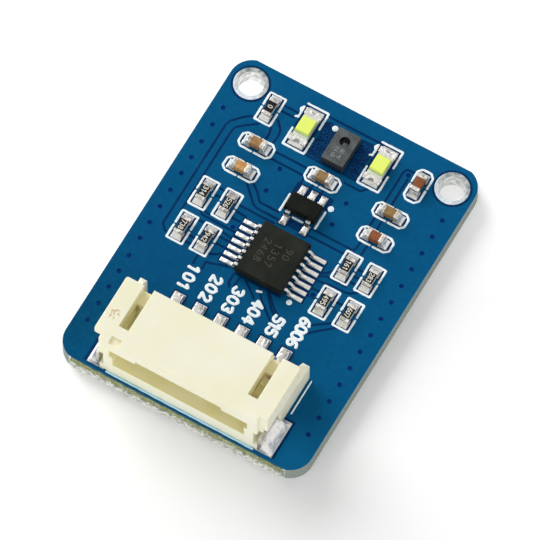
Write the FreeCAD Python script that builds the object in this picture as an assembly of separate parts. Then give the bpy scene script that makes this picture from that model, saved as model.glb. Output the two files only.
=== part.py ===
import FreeCAD, Part
import math
import os

# Light sensor module, millimetres, +Z up, board underside on z = 0.
# The plug side faces -Y and the optical side faces +Y.

V = FreeCAD.Vector

# Board
BOARD_W = 23.0
BOARD_L = 30.6
BOARD_T = 1.6
CORNER_R = 2.0
CORNER_OUT = 0.1
SCORE_DEPTH = 0.45
SCORE_RUN = 0.18
WEB_END = 1.6
FIBRE_MAX = 0.24
REAR_LEAN = 0.277
HOLE_SIDE = 2.0
HOLE_END = 2.1
HOLE_R = 1.1
PLATE_T = 0.05
RING_R = 1.47

# Copper lands, tinned
LAND_T = 0.04
FIT = 0.02

# Plug housing
PITCH = 2.0
WAYS = 6
HOUSE_X = -0.1
HOUSE_HALF = 7.9
EAR_HALF = 8.1
EAR_H = 2.1
HOUSE_SET = 0.4
HOUSE_DEPTH = 7.6
HOUSE_H = 5.8
BODY_DEPTH = 5.82
WALL_T = 1.3
FLOOR_H = 1.64
CEIL_MID = 4.6
CEIL_SIDE = 4.17
CEIL_STEP_X = 4.0
MOUTH_HALF = 6.43
RIB_X = 6.12
RIB_H = 3.03
SLOT_IN = 5.54
SLOT_W = 0.92
SLOT_SET = 1.68
GROOVE_H = 4.65
LEDGE_H = 2.35
EAR_ROUND = 0.3
REAR_ROUND = 0.2
WING_T = 0.62
WING_RISE = 0.65
EAR_CUT_X = 7.36
EAR_CUT = 0.41
MARK_L = 0.66
MARK_DEPTH = 0.2
UNDERCUT = 1.1
EAR_LIP = 0.3

POCKET_X = 7.0
POCKET_L = 1.0
POCKET_LOW = 0.9
TAB_SLOT_H = 3.0
RELIEF_X = 6.8
RELIEF_L = 3.6
WING_ROOT = 0.3

# Contacts, bent square wire
WIRE = 0.5
TAIL_L = 2.0
RISER_GAP = 0.78
PIN_SET = 1.5
PIN_H = 3.1
BEND = 0.45

# Solder tabs, stamped and bent
TAB_T = 0.25
TAB_X = 7.45
TAB_L = 2.79
TAB_SET = 0.06
TAB_H = 2.3
FOOT_X = 8.35

# Optical package
SENSOR_W = 2.0
SENSOR_L = 3.1
SENSOR_H = 1.0
SENSOR_END = 3.8
WINDOW_X = 0.03
WINDOW_OFF = 0.55
WINDOW_R = 0.45
WELL_DEPTH = 0.7

# White lamps
LAMP_SIDE = 3.5
LAMP_MID = -0.06
LAMP_END = 3.4
LAMP_L = 3.2
LAMP_W = 1.55
LAMP_BASE_H = 0.4
LAMP_H = 0.75
BLOCK_L = 1.52
BLOCK_W = 1.36
BLOCK_DRAFT = 0.07

# Voltage regulator
REG_X = -0.04
REG_UP = 5.4
REG_W = 2.9
REG_L = 1.6
REG_H = 1.1
REG_PITCH = 0.95
REG_SPAN = 3.4
REG_LEAD_W = 0.4
REG_PAD_IN = 0.95
REG_PAD_OUT = 1.95
REG_PAD_HALF = 0.29

# Control chip
CHIP_X = 0.03
CHIP_UP = 0.27
CHIP_W = 4.4
CHIP_L = 5.0
CHIP_H = 1.0
CHIP_PITCH = 0.65
CHIP_LEADS = 7
CHIP_SPAN = 6.4
CHIP_LEAD_W = 0.24
CHIP_LAND_IN = 2.45
CHIP_LAND_OUT = 3.84
CHIP_LAND_HALF = 0.19
FOOT_L = 0.5
SHOULDER = 0.18
LEAD_T = 0.13

# Chip capacitors and resistors
CAP_L = 1.6
CAP_W = 0.8
CAP_H = 0.8
RES_L = 1.6
RES_W = 0.8
RES_H = 0.45
CAP_END = 0.35
RES_END = 0.3
CAPS = (
    (-6.31, 8.6, 0),
    (-6.33, 6.1, 0),
    (-0.1, 8.6, 0),
    (6.3, 8.6, 0),
    (6.3, 6.1, 0),
    (7.0, 12.0, 90),
)
RESISTORS = (
    (-6.98, 12.0, 90),
    (-7.88, 2.72, 90),
    (-5.68, 2.72, 90),
    (-7.88, -0.8, 90),
    (-5.68, -0.8, 90),
    (5.55, 2.72, 90),
    (7.75, 2.72, 90),
    (5.52, -0.88, 90),
    (7.75, -0.88, 90),
)

# Places that follow from the sizes above
TOP = BOARD_T
SEAT = BOARD_T + LAND_T
HALF_W = BOARD_W / 2
HALF_L = BOARD_L / 2
LAY_X = BOARD_W / 23.0
LAY_Y = BOARD_L / 30.6
HOLE_X = HALF_W - HOLE_SIDE * LAY_X
HOLE_Y = HALF_L - HOLE_END * LAY_Y
CORNER_Y = HALF_L + CORNER_OUT
WEB_SPAN = HALF_W - WEB_END
HOUSE_FRONT = HOUSE_SET - HALF_L
WALL_REAR = HOUSE_FRONT + BODY_DEPTH
SLOT_FRONT = HOUSE_FRONT + SLOT_SET
EAR_CUT_Y = HOUSE_FRONT + EAR_CUT
MARK_Y = HOUSE_FRONT + MARK_L
RISER_Y = WALL_REAR + RISER_GAP
TAIL_END = RISER_Y + TAIL_L
PIN_TIP = HOUSE_FRONT + PIN_SET
TAB_FRONT = HOUSE_FRONT + TAB_SET
TAB_REAR = TAB_FRONT + TAB_L
SENSOR_Y = HALF_L - SENSOR_END * LAY_Y
WINDOW_Y = SENSOR_Y + WINDOW_OFF
LAMP_X = LAMP_SIDE * LAY_X
LAMP_Y = HALF_L - LAMP_END * LAY_Y
REG_Y = REG_UP * LAY_Y
CHIP_Y = CHIP_UP * LAY_Y
SIDES = (("left", -1), ("right", 1))

os.makedirs("parts", exist_ok=True)


def save(shape, node):
    shape.exportStep("parts/" + node + ".step")


def block(x0, x1, y0, y1, z0, z1):
    low = V(min(x0, x1), min(y0, y1), min(z0, z1))
    return Part.makeBox(abs(x1 - x0), abs(y1 - y0), abs(z1 - z0), low)


def prism(points, direction):
    ring = [V(*p) for p in points]
    face = Part.Face(Part.makePolygon(ring + [ring[0]]))
    return face.extrude(V(*direction))


def side_prism(profile, x0, x1):
    points = [(x0, y, z) for y, z in profile]
    return prism(points, (x1 - x0, 0, 0))


def front_prism(profile, y0, y1):
    points = [(x, y0, z) for x, z in profile]
    return prism(points, (0, y1 - y0, 0))


def joined(shapes):
    first = shapes[0]
    if len(shapes) == 1:
        return first
    return first.fuse(shapes[1:]).removeSplitter()


def bundle(shapes):
    return Part.makeCompound(shapes)


def turned(shape, x, y, angle):
    made = shape.copy()
    made.rotate(V(0, 0, 0), V(0, 0, 1), angle)
    made.translate(V(x, y, 0))
    return made


def edges_where(shape, test):
    return [e for e in shape.Edges if test(e.BoundBox)]


# Board with routed long sides, scored short edges and snapped fibre webs
slab = block(-HALF_W, HALF_W, -CORNER_Y, CORNER_Y, 0, BOARD_T)
corner_edges = edges_where(slab, lambda b: b.ZLength > BOARD_T / 2)
slab = slab.makeFillet(CORNER_R, corner_edges)
slab = slab.common(block(-HALF_W, HALF_W, -HALF_L, HALF_L, 0, BOARD_T))
score_y = HALF_L + SCORE_RUN
webs = []
for side in (-1, 1):
    profile = (
        (side * (HALF_L - HOLE_END / 4), 0),
        (side * HALF_L, 0),
        (side * score_y, SCORE_DEPTH),
        (side * score_y, BOARD_T - SCORE_DEPTH),
        (side * HALF_L, BOARD_T),
        (side * (HALF_L - HOLE_END / 4), BOARD_T),
    )
    webs.append(side_prism(profile, -WEB_SPAN, WEB_SPAN))
    torn = [(-WEB_SPAN, side * (score_y - SCORE_RUN))]
    steps = 46
    for k in range(steps + 1):
        x = -WEB_SPAN + 2 * WEB_SPAN * k / steps
        wave = math.sin(2.7 * k + side) + math.sin(1.3 * k * k + 2)
        out = FIBRE_MAX * (0.5 + 0.25 * wave)
        if k == 12:
            out = FIBRE_MAX
        if k in (0, steps):
            out = 0.02
        torn.append((x, side * (score_y + max(out, 0.02))))
    torn.append((WEB_SPAN, side * (score_y - SCORE_RUN)))
    ring = [(x, y, SCORE_DEPTH) for x, y in torn]
    web = prism(ring, (0, 0, BOARD_T - 2 * SCORE_DEPTH))
    if side > 0:
        # The rear web tore on a slant and hides below the top edge
        slant = (
            (score_y, BOARD_T - SCORE_DEPTH),
            (score_y + REAR_LEAN, SCORE_DEPTH),
            (score_y + 1, SCORE_DEPTH),
            (score_y + 1, BOARD_T - SCORE_DEPTH),
        )
        web = web.cut(side_prism(slant, -HALF_W, HALF_W))
    webs.append(web)
board = joined([slab] + webs)
for side in (-1, 1):
    at = V(side * HOLE_X, HOLE_Y, -1)
    board = board.cut(Part.makeCylinder(HOLE_R + PLATE_T, BOARD_T + 2, at))
    low = V(side * HOLE_X, HOLE_Y, 0)
    board = board.cut(Part.makeCylinder(RING_R, LAND_T, low))
save(board, "circuit_board")

# Plated barrels and rings of the two mounting holes
for name, side in SIDES:
    at = V(side * HOLE_X, HOLE_Y, 0)
    barrel = Part.makeCylinder(HOLE_R + PLATE_T, BOARD_T + LAND_T, at)
    lower = Part.makeCylinder(RING_R, LAND_T, at)
    upper = Part.makeCylinder(RING_R, LAND_T, at + V(0, 0, BOARD_T))
    plating = joined([barrel, lower, upper])
    plating = plating.cut(Part.makeCylinder(HOLE_R, 4, at - V(0, 0, 1)))
    save(plating, "hole_plating_" + name)

# Tinned lands, one flat pad each
lands = []


def land(x0, x1, y0, y1):
    lands.append(block(x0, x1, y0, y1, TOP, SEAT))


pin_xs = [PITCH * (k - (WAYS - 1) / 2) for k in range(WAYS)]
LAND_W = 1.0
LAND_OUT = 0.3
for x in pin_xs:
    land(x - LAND_W / 2, x + LAND_W / 2, WALL_REAR + RISER_GAP / 4, TAIL_END + LAND_OUT)
TAB_LAND_IN = 7.05
TAB_LAND_OUT = 8.62
for name, side in SIDES:
    land(side * TAB_LAND_IN, side * TAB_LAND_OUT, HOUSE_FRONT - 0.07, TAB_REAR + 0.55)
LAMP_PAD_HALF = 0.7
LAMP_PAD_IN = 0.95
LAMP_PAD_OUT = 1.85
for name, side in SIDES:
    a = LAMP_MID + side * LAMP_X - LAMP_PAD_HALF
    b = LAMP_MID + side * LAMP_X + LAMP_PAD_HALF
    land(a, b, LAMP_Y + LAMP_PAD_IN, LAMP_Y + LAMP_PAD_OUT)
    land(a, b, LAMP_Y - LAMP_PAD_OUT, LAMP_Y - LAMP_PAD_IN)
for k in range(3):
    for side in (-1, 1):
        y = SENSOR_Y + (k - 1) * SENSOR_L / 3
        land(side * SENSOR_W / 4, side * (SENSOR_W / 2 - 0.05), y - 0.25, y + 0.25)
reg_top = (-REG_PITCH, 0.0, REG_PITCH)
reg_low = (-REG_PITCH, REG_PITCH)
for row, side in ((reg_top, 1), (reg_low, -1)):
    for dx in row:
        x = REG_X + dx
        near = REG_Y + side * REG_PAD_IN
        far = REG_Y + side * REG_PAD_OUT
        land(x - REG_PAD_HALF, x + REG_PAD_HALF, near, far)
chip_ys = [CHIP_Y + CHIP_PITCH * (k - (CHIP_LEADS - 1) / 2) for k in range(CHIP_LEADS)]
for y in chip_ys:
    for side in (-1, 1):
        near = CHIP_X + side * CHIP_LAND_IN
        far = CHIP_X + side * CHIP_LAND_OUT
        land(near, far, y - CHIP_LAND_HALF, y + CHIP_LAND_HALF)
CHIP_PAD_IN = 0.42
CHIP_PAD_OUT = 1.22
CHIP_PAD_HALF = 0.46
PLACES = [(x * LAY_X, y * LAY_Y, angle) for x, y, angle in CAPS + RESISTORS]
for x, y, angle in PLACES:
    for side in (-1, 1):
        a = side * CHIP_PAD_IN
        b = side * CHIP_PAD_OUT
        if angle:
            land(x - CHIP_PAD_HALF, x + CHIP_PAD_HALF, y + a, y + b)
        else:
            land(x + a, x + b, y - CHIP_PAD_HALF, y + CHIP_PAD_HALF)
save(bundle(lands), "tinned_lands")

# Moulded plug housing, open toward -Y, drawn about x = 0 and set at HOUSE_X
front = HOUSE_FRONT
base = TOP
top = TOP + HOUSE_H
ear_low = top - EAR_H
lower = block(-HOUSE_HALF, HOUSE_HALF, front, WALL_REAR, base, ear_low)
plan = (
    (-EAR_HALF, WALL_REAR),
    (-EAR_HALF, EAR_CUT_Y),
    (-EAR_CUT_X, EAR_CUT_Y),
    (-EAR_CUT_X, front),
    (EAR_CUT_X, front),
    (EAR_CUT_X, EAR_CUT_Y),
    (EAR_HALF, EAR_CUT_Y),
    (EAR_HALF, WALL_REAR),
)
upper = prism([(x, y, ear_low) for x, y in plan], (0, 0, EAR_H))
ear_edges = edges_where(
    upper,
    lambda b: b.ZLength > EAR_H / 2 and abs(b.YMax - EAR_CUT_Y) < 0.01 and b.XMax < -TAB_X,
)
upper = upper.makeFillet(EAR_ROUND, ear_edges)
rear_edges = edges_where(upper, lambda b: b.ZLength > EAR_H / 2 and abs(b.YMin - WALL_REAR) < 0.01)
upper = upper.makeFillet(REAR_ROUND, rear_edges)
for side in (-1, 1):
    corner = block(side * EAR_CUT_X, side * (HOUSE_HALF + 1), front - 1, EAR_CUT_Y, base, top)
    lower = lower.cut(corner)
shell = joined([lower, upper])
wall_in = WALL_REAR - WALL_T
cavity = block(-CEIL_STEP_X, CEIL_STEP_X, front - 1, wall_in, base + FLOOR_H, base + CEIL_MID)
wide = block(-MOUTH_HALF, MOUTH_HALF, front - 1, wall_in, base + RIB_H, base + CEIL_SIDE)
low = block(-RIB_X, RIB_X, front - 1, wall_in, base + FLOOR_H, base + RIB_H)
shell = shell.cut(joined([cavity, wide, low]))
TAB_SLOT_OUT = TAB_X + TAB_T
for side in (-1, 1):
    a = side * SLOT_IN
    b = side * (SLOT_IN + SLOT_W)
    groove = block(a, b, SLOT_FRONT, WALL_REAR + 1, base + GROOVE_H, top + 1)
    window = block(a, side * MOUTH_HALF, SLOT_FRONT, wall_in, base + CEIL_SIDE - FIT, top + 1)
    shell = shell.cut(joined([groove, window]))
    # Open corner pocket, slot for the solder tab, cut-away beside it and relief over the land
    rear = TAB_REAR + FIT
    outside = side * (HOUSE_HALF + 1)
    pocket_rear = front + POCKET_L
    tab_top = base + TAB_SLOT_H
    pocket = block(side * POCKET_X, side * TAB_X, front - 1, pocket_rear, base + POCKET_LOW, tab_top)
    slot = block(side * (TAB_X - FIT), side * (TAB_SLOT_OUT + FIT), front - 1, rear, base, tab_top)
    beside = block(side * TAB_SLOT_OUT, outside, front - 1, rear, base, ear_low)
    relief = block(side * RELIEF_X, outside, front - 1, front + RELIEF_L, base, base + LAND_T)
    shell = shell.cut(joined([pocket, slot, beside, relief]))
# The left ear thins to a lip at its front
undercut = (
    (EAR_CUT_Y - 1, ear_low - 1),
    (EAR_CUT_Y - 1, top - EAR_LIP),
    (EAR_CUT_Y, top - EAR_LIP),
    (EAR_CUT_Y + UNDERCUT, ear_low),
    (EAR_CUT_Y + UNDERCUT, ear_low - 1),
)
shell = shell.cut(side_prism(undercut, -EAR_CUT_X, -EAR_HALF - 1))
mark = block(-SLOT_IN - SLOT_W, -SLOT_IN, front - 1, MARK_Y, top - MARK_DEPTH, top + 1)
shell = shell.cut(mark)
wing_rear = HOUSE_FRONT + HOUSE_DEPTH
wing_top = base + LEDGE_H
wings = []
for side in (-1, 1):
    a = side * (HOUSE_HALF - WING_T)
    b = side * HOUSE_HALF
    across = ((a, base), (b, base), (b, wing_top), (a, wing_top + WING_RISE))
    along = (
        (WALL_REAR - WING_ROOT, base),
        (wing_rear, base),
        (wing_rear, wing_top),
        (wing_rear - WING_RISE, wing_top + WING_RISE),
        (WALL_REAR - WING_ROOT, wing_top + WING_RISE),
    )
    ramp = front_prism(across, WALL_REAR - WING_ROOT, wing_rear)
    wings.append(ramp.common(side_prism(along, a, b)))
shell = joined([shell] + wings)
hole_half = WIRE / 2 + FIT
for x in pin_xs:
    z = base + PIN_H
    hole = block(x - hole_half, x + hole_half, wall_in - 1, WALL_REAR + 1, z - hole_half, z + hole_half)
    shell = shell.cut(hole)
shell.translate(V(HOUSE_X, 0, 0))
save(shell, "plug_housing")

# Bent contacts: pin, riser behind the back wall, foot on the land
half = WIRE / 2
for k, pin_x in enumerate(pin_xs):
    x = pin_x + HOUSE_X
    foot_z = SEAT + half
    pin_z = base + PIN_H
    a = V(x, TAIL_END, foot_z)
    b = V(x, RISER_Y + BEND, foot_z)
    c = V(x, RISER_Y, foot_z + BEND)
    d = V(x, RISER_Y, pin_z - BEND)
    e = V(x, RISER_Y - BEND, pin_z)
    f = V(x, PIN_TIP, pin_z)
    s = BEND * (1 - math.sqrt(0.5))
    mid1 = V(x, RISER_Y + s, foot_z + s)
    mid2 = V(x, RISER_Y - s, pin_z - s)
    edges = [
        Part.LineSegment(a, b).toShape(),
        Part.Arc(b, mid1, c).toShape(),
        Part.LineSegment(c, d).toShape(),
        Part.Arc(d, mid2, e).toShape(),
        Part.LineSegment(e, f).toShape(),
    ]
    path = Part.Wire(edges)
    ring = [
        V(x - half, TAIL_END, foot_z - half),
        V(x + half, TAIL_END, foot_z - half),
        V(x + half, TAIL_END, foot_z + half),
        V(x - half, TAIL_END, foot_z + half),
    ]
    section = Part.Wire(Part.makePolygon(ring + [ring[0]]))
    wire = path.makePipeShell([section], True, False)
    tip_edges = edges_where(wire, lambda b: b.YMax < PIN_TIP + 0.001)
    wire = wire.makeChamfer(0.12, tip_edges)
    save(wire, "contact_" + str(k + 1))

# Stamped solder tabs, plate in the housing slot and foot on its land
TAB_BEND = 0.3
for name, side in SIDES:
    x_in = side * TAB_X
    x_out = side * (TAB_X + TAB_T)
    plate = block(x_in, x_out, TAB_FRONT, TAB_REAR, SEAT, SEAT + TAB_H)
    foot = block(x_in, side * FOOT_X, TAB_FRONT, TAB_REAR, SEAT, SEAT + TAB_T)
    tab = joined([plate, foot])
    outer = edges_where(
        tab,
        lambda b: b.YLength > 2
        and abs(b.XMin - x_in) < 0.001
        and abs(b.XMax - x_in) < 0.001
        and abs(b.ZMax - SEAT) < 0.001,
    )
    tab = tab.makeFillet(TAB_BEND, outer)
    heel = edges_where(
        tab,
        lambda b: b.YLength > 2
        and abs(b.XMin - x_out) < 0.001
        and abs(b.XMax - x_out) < 0.001
        and abs(b.ZMax - SEAT - TAB_T) < 0.001,
    )
    tab = tab.makeFillet(0.08, heel)
    tab.translate(V(HOUSE_X, 0, 0))
    save(tab, "solder_tab_" + name)

# Optical package: moulded body with a round well, chip and clear window
sensor = Part.makeBox(SENSOR_W, SENSOR_L, SENSOR_H, V(-SENSOR_W / 2, SENSOR_Y - SENSOR_L / 2, SEAT))
well_at = V(WINDOW_X, WINDOW_Y, SEAT + SENSOR_H - WELL_DEPTH)
sensor = sensor.cut(Part.makeCylinder(WINDOW_R, 2, well_at))
save(sensor, "sensor_body")
DIE = 0.5
DIE_T = 0.15
die = Part.makeBox(DIE, DIE, DIE_T, well_at - V(DIE / 2, DIE / 2, 0))
save(die, "sensor_die")
WINDOW_T = 0.12
glass_at = V(WINDOW_X, WINDOW_Y, SEAT + SENSOR_H - WINDOW_T - 0.08)
window = Part.makeCylinder(WINDOW_R, WINDOW_T, glass_at)
save(window, "sensor_window")

# White lamps: carrier, end terminals and phosphor block
for name, side in SIDES:
    cx = LAMP_MID + side * LAMP_X
    w = LAMP_W / 2
    end_l = 0.55
    y0 = LAMP_Y - LAMP_L / 2
    y1 = LAMP_Y + LAMP_L / 2
    hw = BLOCK_W / 2
    carrier = block(cx - hw, cx + hw, y0 + end_l, y1 - end_l, SEAT, SEAT + LAMP_BASE_H)
    save(carrier, "lamp_carrier_" + name)
    terminals = []
    notch_r = 0.3
    for y_end, y_in in ((y0, y0 + end_l), (y1, y1 - end_l)):
        piece = block(cx - w, cx + w, y_end, y_in, SEAT, SEAT + LAMP_BASE_H)
        piece = piece.cut(Part.makeCylinder(notch_r, 2, V(cx, y_end, SEAT - 0.5)))
        terminals.append(piece)
    save(bundle(terminals), "lamp_terminals_" + name)
    z0 = SEAT + LAMP_BASE_H
    z1 = SEAT + LAMP_H
    hl = BLOCK_L / 2
    profile = (
        (LAMP_Y - hl, z0),
        (LAMP_Y + hl, z0),
        (LAMP_Y + hl - BLOCK_DRAFT, z1),
        (LAMP_Y - hl + BLOCK_DRAFT, z1),
    )
    across = (
        (cx - hw, z0),
        (cx + hw, z0),
        (cx + hw - BLOCK_DRAFT, z1),
        (cx - hw + BLOCK_DRAFT, z1),
    )
    lens = side_prism(profile, cx - hw, cx + hw)
    lens = lens.common(front_prism(across, LAMP_Y - hl, LAMP_Y + hl))
    save(lens, "lamp_block_" + name)


# Gull wing lead: drawn along +X from the body face, then turned
def gull(reach, exit_z, width):
    thick = LEAD_T
    shoulder = SHOULDER
    foot_in = reach - FOOT_L
    profile = (
        (0, exit_z),
        (0, exit_z + thick),
        (shoulder + thick * 0.6, exit_z + thick),
        (foot_in + thick * 0.7, SEAT + thick),
        (reach, SEAT + thick),
        (reach, SEAT),
        (foot_in, SEAT),
        (shoulder, exit_z),
    )
    return front_prism(profile, -width / 2, width / 2)


# Moulded bodies share a parting line with draft above and below
def moulded(cx, cy, w, l, z0, z1, part_z, draft):
    def ring(z, inset):
        a = w / 2 - inset
        b = l / 2 - inset
        points = [V(cx - a, cy - b, z), V(cx + a, cy - b, z), V(cx + a, cy + b, z), V(cx - a, cy + b, z)]
        return Part.Wire(Part.makePolygon(points + [points[0]]))

    lower = Part.makeLoft([ring(z0, draft * 0.8), ring(part_z, 0)], True, True)
    upper = Part.makeLoft([ring(part_z, 0), ring(z1, draft)], True, True)
    return joined([lower, upper])


REG_STAND = 0.06
reg_part = SEAT + 0.5
reg = moulded(REG_X, REG_Y, REG_W, REG_L, SEAT + REG_STAND, SEAT + REG_H, reg_part, 0.09)
save(reg, "regulator_body")
reach = REG_SPAN / 2 - REG_L / 2
lead = gull(reach, reg_part - LEAD_T / 2, REG_LEAD_W)
lead.translate(V(REG_L / 2, 0, 0))
leads = []
for dx in reg_top:
    leads.append(turned(lead, REG_X + dx, REG_Y, 90))
for dx in reg_low:
    leads.append(turned(lead, REG_X + dx, REG_Y, -90))
save(bundle(leads), "regulator_leads")

CHIP_STAND = 0.08
chip_part = SEAT + 0.52
chip = moulded(CHIP_X, CHIP_Y, CHIP_W, CHIP_L, SEAT + CHIP_STAND, SEAT + CHIP_H, chip_part, 0.1)
save(chip, "chip_body")
reach = CHIP_SPAN / 2 - CHIP_W / 2
lead = gull(reach, chip_part - LEAD_T / 2, CHIP_LEAD_W)
lead.translate(V(CHIP_W / 2, 0, 0))
leads = []
for y in chip_ys:
    leads.append(turned(lead, CHIP_X, y, 0))
    leads.append(turned(lead, CHIP_X, y, 180))
save(bundle(leads), "chip_leads")

# Chip capacitors and resistors, each a body between two wrapped ends
joints = []


def chip_joint(length, width, height):
    pieces = []
    for side in (-1, 1):
        x0 = side * length / 2
        x1 = side * (CHIP_PAD_OUT - LAND_T)
        x2 = side * (length / 2 + CHIP_PAD_IN / 4)
        profile = ((x0, SEAT), (x1, SEAT), (x2, SEAT + height * 0.3), (x0, SEAT + height * 0.75))
        pieces.append(front_prism(profile, -width / 2, width / 2))
    return pieces


def chip_part_pair(length, width, height, end, wrap, place, names):
    x, y, angle = place
    a = length / 2 - wrap
    b = width / 2 - wrap
    body = block(-a, a, -b, b, SEAT + wrap, SEAT + height - wrap)
    ends = []
    for side in (-1, 1):
        a = side * length / 2
        b = side * (length / 2 - end)
        cap = block(a, b, -width / 2, width / 2, SEAT, SEAT + height)
        ends.append(cap.cut(body))
    save(turned(body, x, y, angle), names[0])
    save(turned(bundle(ends), x, y, angle), names[1])
    for piece in chip_joint(length, width, height):
        joints.append(turned(piece, x, y, angle))


for k, place in enumerate(PLACES[: len(CAPS)]):
    stem = "capacitor_" + str(k + 1)
    chip_part_pair(CAP_L, CAP_W, CAP_H, CAP_END, 0.03, place, (stem + "_body", stem + "_ends"))
for k, place in enumerate(PLACES[len(CAPS) :]):
    stem = "resistor_" + str(k + 1)
    chip_part_pair(RES_L, RES_W, RES_H, RES_END, 0.03, place, (stem + "_body", stem + "_ends"))

# Solder at the chip parts and lamps
for name, side in SIDES:
    cx = LAMP_MID + side * LAMP_X
    for sense in (-1, 1):
        y0 = LAMP_Y + sense * LAMP_L / 2
        y1 = LAMP_Y + sense * (LAMP_PAD_OUT - 0.03)
        profile = ((y0, SEAT), (y1, SEAT), (y0, SEAT + 0.28))
        for a, b in ((-0.68, -0.32), (0.32, 0.68)):
            joints.append(side_prism(profile, cx + a, cx + b))
save(bundle(joints), "small_part_solder")

# Solder at the plug: wedges along each foot and a climbing fillet at each tab
plug_joints = []
for pin_x in pin_xs:
    x = pin_x + HOUSE_X
    for side in (-1, 1):
        a = x + side * half
        b = pin_x + side * (LAND_W / 2 - 0.04)
        profile = ((a, SEAT), (b, SEAT), (a, SEAT + 0.36))
        plug_joints.append(front_prism(profile, TAIL_END, RISER_Y + BEND + 0.1))
    profile = ((TAIL_END, SEAT), (TAIL_END + LAND_OUT - 0.05, SEAT), (TAIL_END, SEAT + 0.36))
    plug_joints.append(side_prism(profile, x - half, x + half))
save(bundle(plug_joints), "contact_solder")
for name, side in SIDES:
    stations = (
        (TAB_FRONT, TAB_H * 0.84),
        (TAB_FRONT + TAB_L / 3, TAB_H * 0.76),
        (TAB_FRONT + TAB_L * 0.7, TAB_H * 0.42),
        (TAB_REAR, TAB_H * 0.2),
    )
    foot_top = SEAT + TAB_T
    shift = HOUSE_X
    x_in = shift + side * TAB_SLOT_OUT
    x_mid = x_in + side * 0.28
    x_foot = shift + side * FOOT_X
    x_land = side * (TAB_LAND_OUT - 0.04)
    rings = []
    for y, climb in stations:
        points = (
            V(x_in + side * 0.081, y, foot_top),
            V(x_foot, y, foot_top),
            V(x_foot, y, SEAT),
            V(x_land, y, SEAT),
            V(x_foot + side * 0.11, y, foot_top + 0.14 * climb),
            V(x_mid, y, foot_top + 0.5 * climb),
            V(x_in, y, foot_top + climb),
            V(x_in, y, foot_top + 0.081),
        )
        rings.append(Part.Wire(Part.makePolygon(list(points) + [points[0]])))
    fillet = Part.makeLoft(rings, True, True)
    save(fillet, "tab_solder_" + name)
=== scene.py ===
import bpy
import math
import random
from functools import partial
from mathutils import Matrix, Vector, noise


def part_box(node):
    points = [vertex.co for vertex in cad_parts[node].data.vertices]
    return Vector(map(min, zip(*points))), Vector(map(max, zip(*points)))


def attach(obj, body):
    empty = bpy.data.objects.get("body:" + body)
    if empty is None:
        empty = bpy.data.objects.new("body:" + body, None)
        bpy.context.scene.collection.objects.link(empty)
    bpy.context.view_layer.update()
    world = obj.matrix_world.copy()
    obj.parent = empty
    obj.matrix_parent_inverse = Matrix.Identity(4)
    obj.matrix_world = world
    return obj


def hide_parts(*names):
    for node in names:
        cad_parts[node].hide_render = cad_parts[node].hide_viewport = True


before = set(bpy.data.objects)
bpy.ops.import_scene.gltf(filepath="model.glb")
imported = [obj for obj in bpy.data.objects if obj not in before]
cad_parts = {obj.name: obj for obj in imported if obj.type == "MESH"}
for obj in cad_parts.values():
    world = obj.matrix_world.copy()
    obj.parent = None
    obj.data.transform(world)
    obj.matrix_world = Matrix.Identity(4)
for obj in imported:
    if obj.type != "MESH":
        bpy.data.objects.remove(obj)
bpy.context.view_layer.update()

MM = 0.001
BOARD_TOP = 1.6
SCORE_ROOT = 15.3
WEB_LOW, WEB_HIGH = 0.449, 1.151


def colour(code):
    parts = [int(code[i : i + 2], 16) / 255 for i in (1, 3, 5)]
    return tuple(c / 12.92 if c <= 0.04045 else ((c + 0.055) / 1.055) ** 2.4 for c in parts) + (1,)


def feed(socket, value):
    if isinstance(value, bpy.types.NodeSocket):
        socket.id_data.links.new(value, socket)
    elif value is not None:
        socket.default_value = colour(value) if isinstance(value, str) else value


# Adds one node: settings are its own properties, and values or links fill its live sockets in order.
def add_node(tree, kind, *values, out=None, **settings):
    made = tree.nodes.new("ShaderNode" + kind)
    for key, value in settings.items():
        setattr(made, key, value)
    for socket, value in zip([s for s in made.inputs if s.enabled], values):
        feed(socket, value)
    return made.outputs[out] if out else next(s for s in made.outputs if s.enabled)


def start_finish(name):
    material = bpy.data.materials.new(name)
    material.use_nodes = True
    add = partial(add_node, material.node_tree)
    place = add("VectorMath", add("TexCoord", out="Object"), (1 / MM, 1 / MM, 1 / MM), operation="MULTIPLY")
    return material, add, place


def coat(material, sockets):
    for name, value in sockets.items():
        feed(material.node_tree.nodes["Principled BSDF"].inputs[name], value)


# How rubbed each point is, from 0 to 1 at an edge, and the normal with its edges rounded.
def worn_edges(add, radius, low, high):
    soft = add("Bevel", radius * MM, samples=6)
    match = add("VectorMath", soft, add("NewGeometry", out="Normal"), operation="DOT_PRODUCT")
    return add("MapRange", match, high, low, 0.0, 1.0), soft


def dress(node, *materials):
    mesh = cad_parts[node].data
    mesh.materials.clear()
    for material in materials:
        mesh.materials.append(material)
    return mesh.polygons


# Solder mask: blue epoxy ink screened over the copper and cured. It gives a deep, even blue, paler
# toward the back and darker toward the front left corner, with painted light at the front right
# corner where the plug housing's shadow falls, and a pale line where an edge is rubbed.
mask, add, place = start_finish("blue_solder_mask")
grain = add("TexNoise", place, 1 / 0.35, 4.0)
along = add("MapRange", add("SeparateXYZ", place, out="Y"), -16.0, 16.0, 0.0, 1.0)
cloud = add("MapRange", add("TexNoise", place, 1 / 7.0, 2.0), 0.3, 0.7, 0, 1)
deep = add("Mix", cloud, "#004A7A", "#005380", data_type="RGBA")
fade = add("Mix", along, "#004A73", "#065A86", data_type="RGBA")
blue = add("Mix", 0.5, deep, fade, data_type="RGBA")
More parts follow.
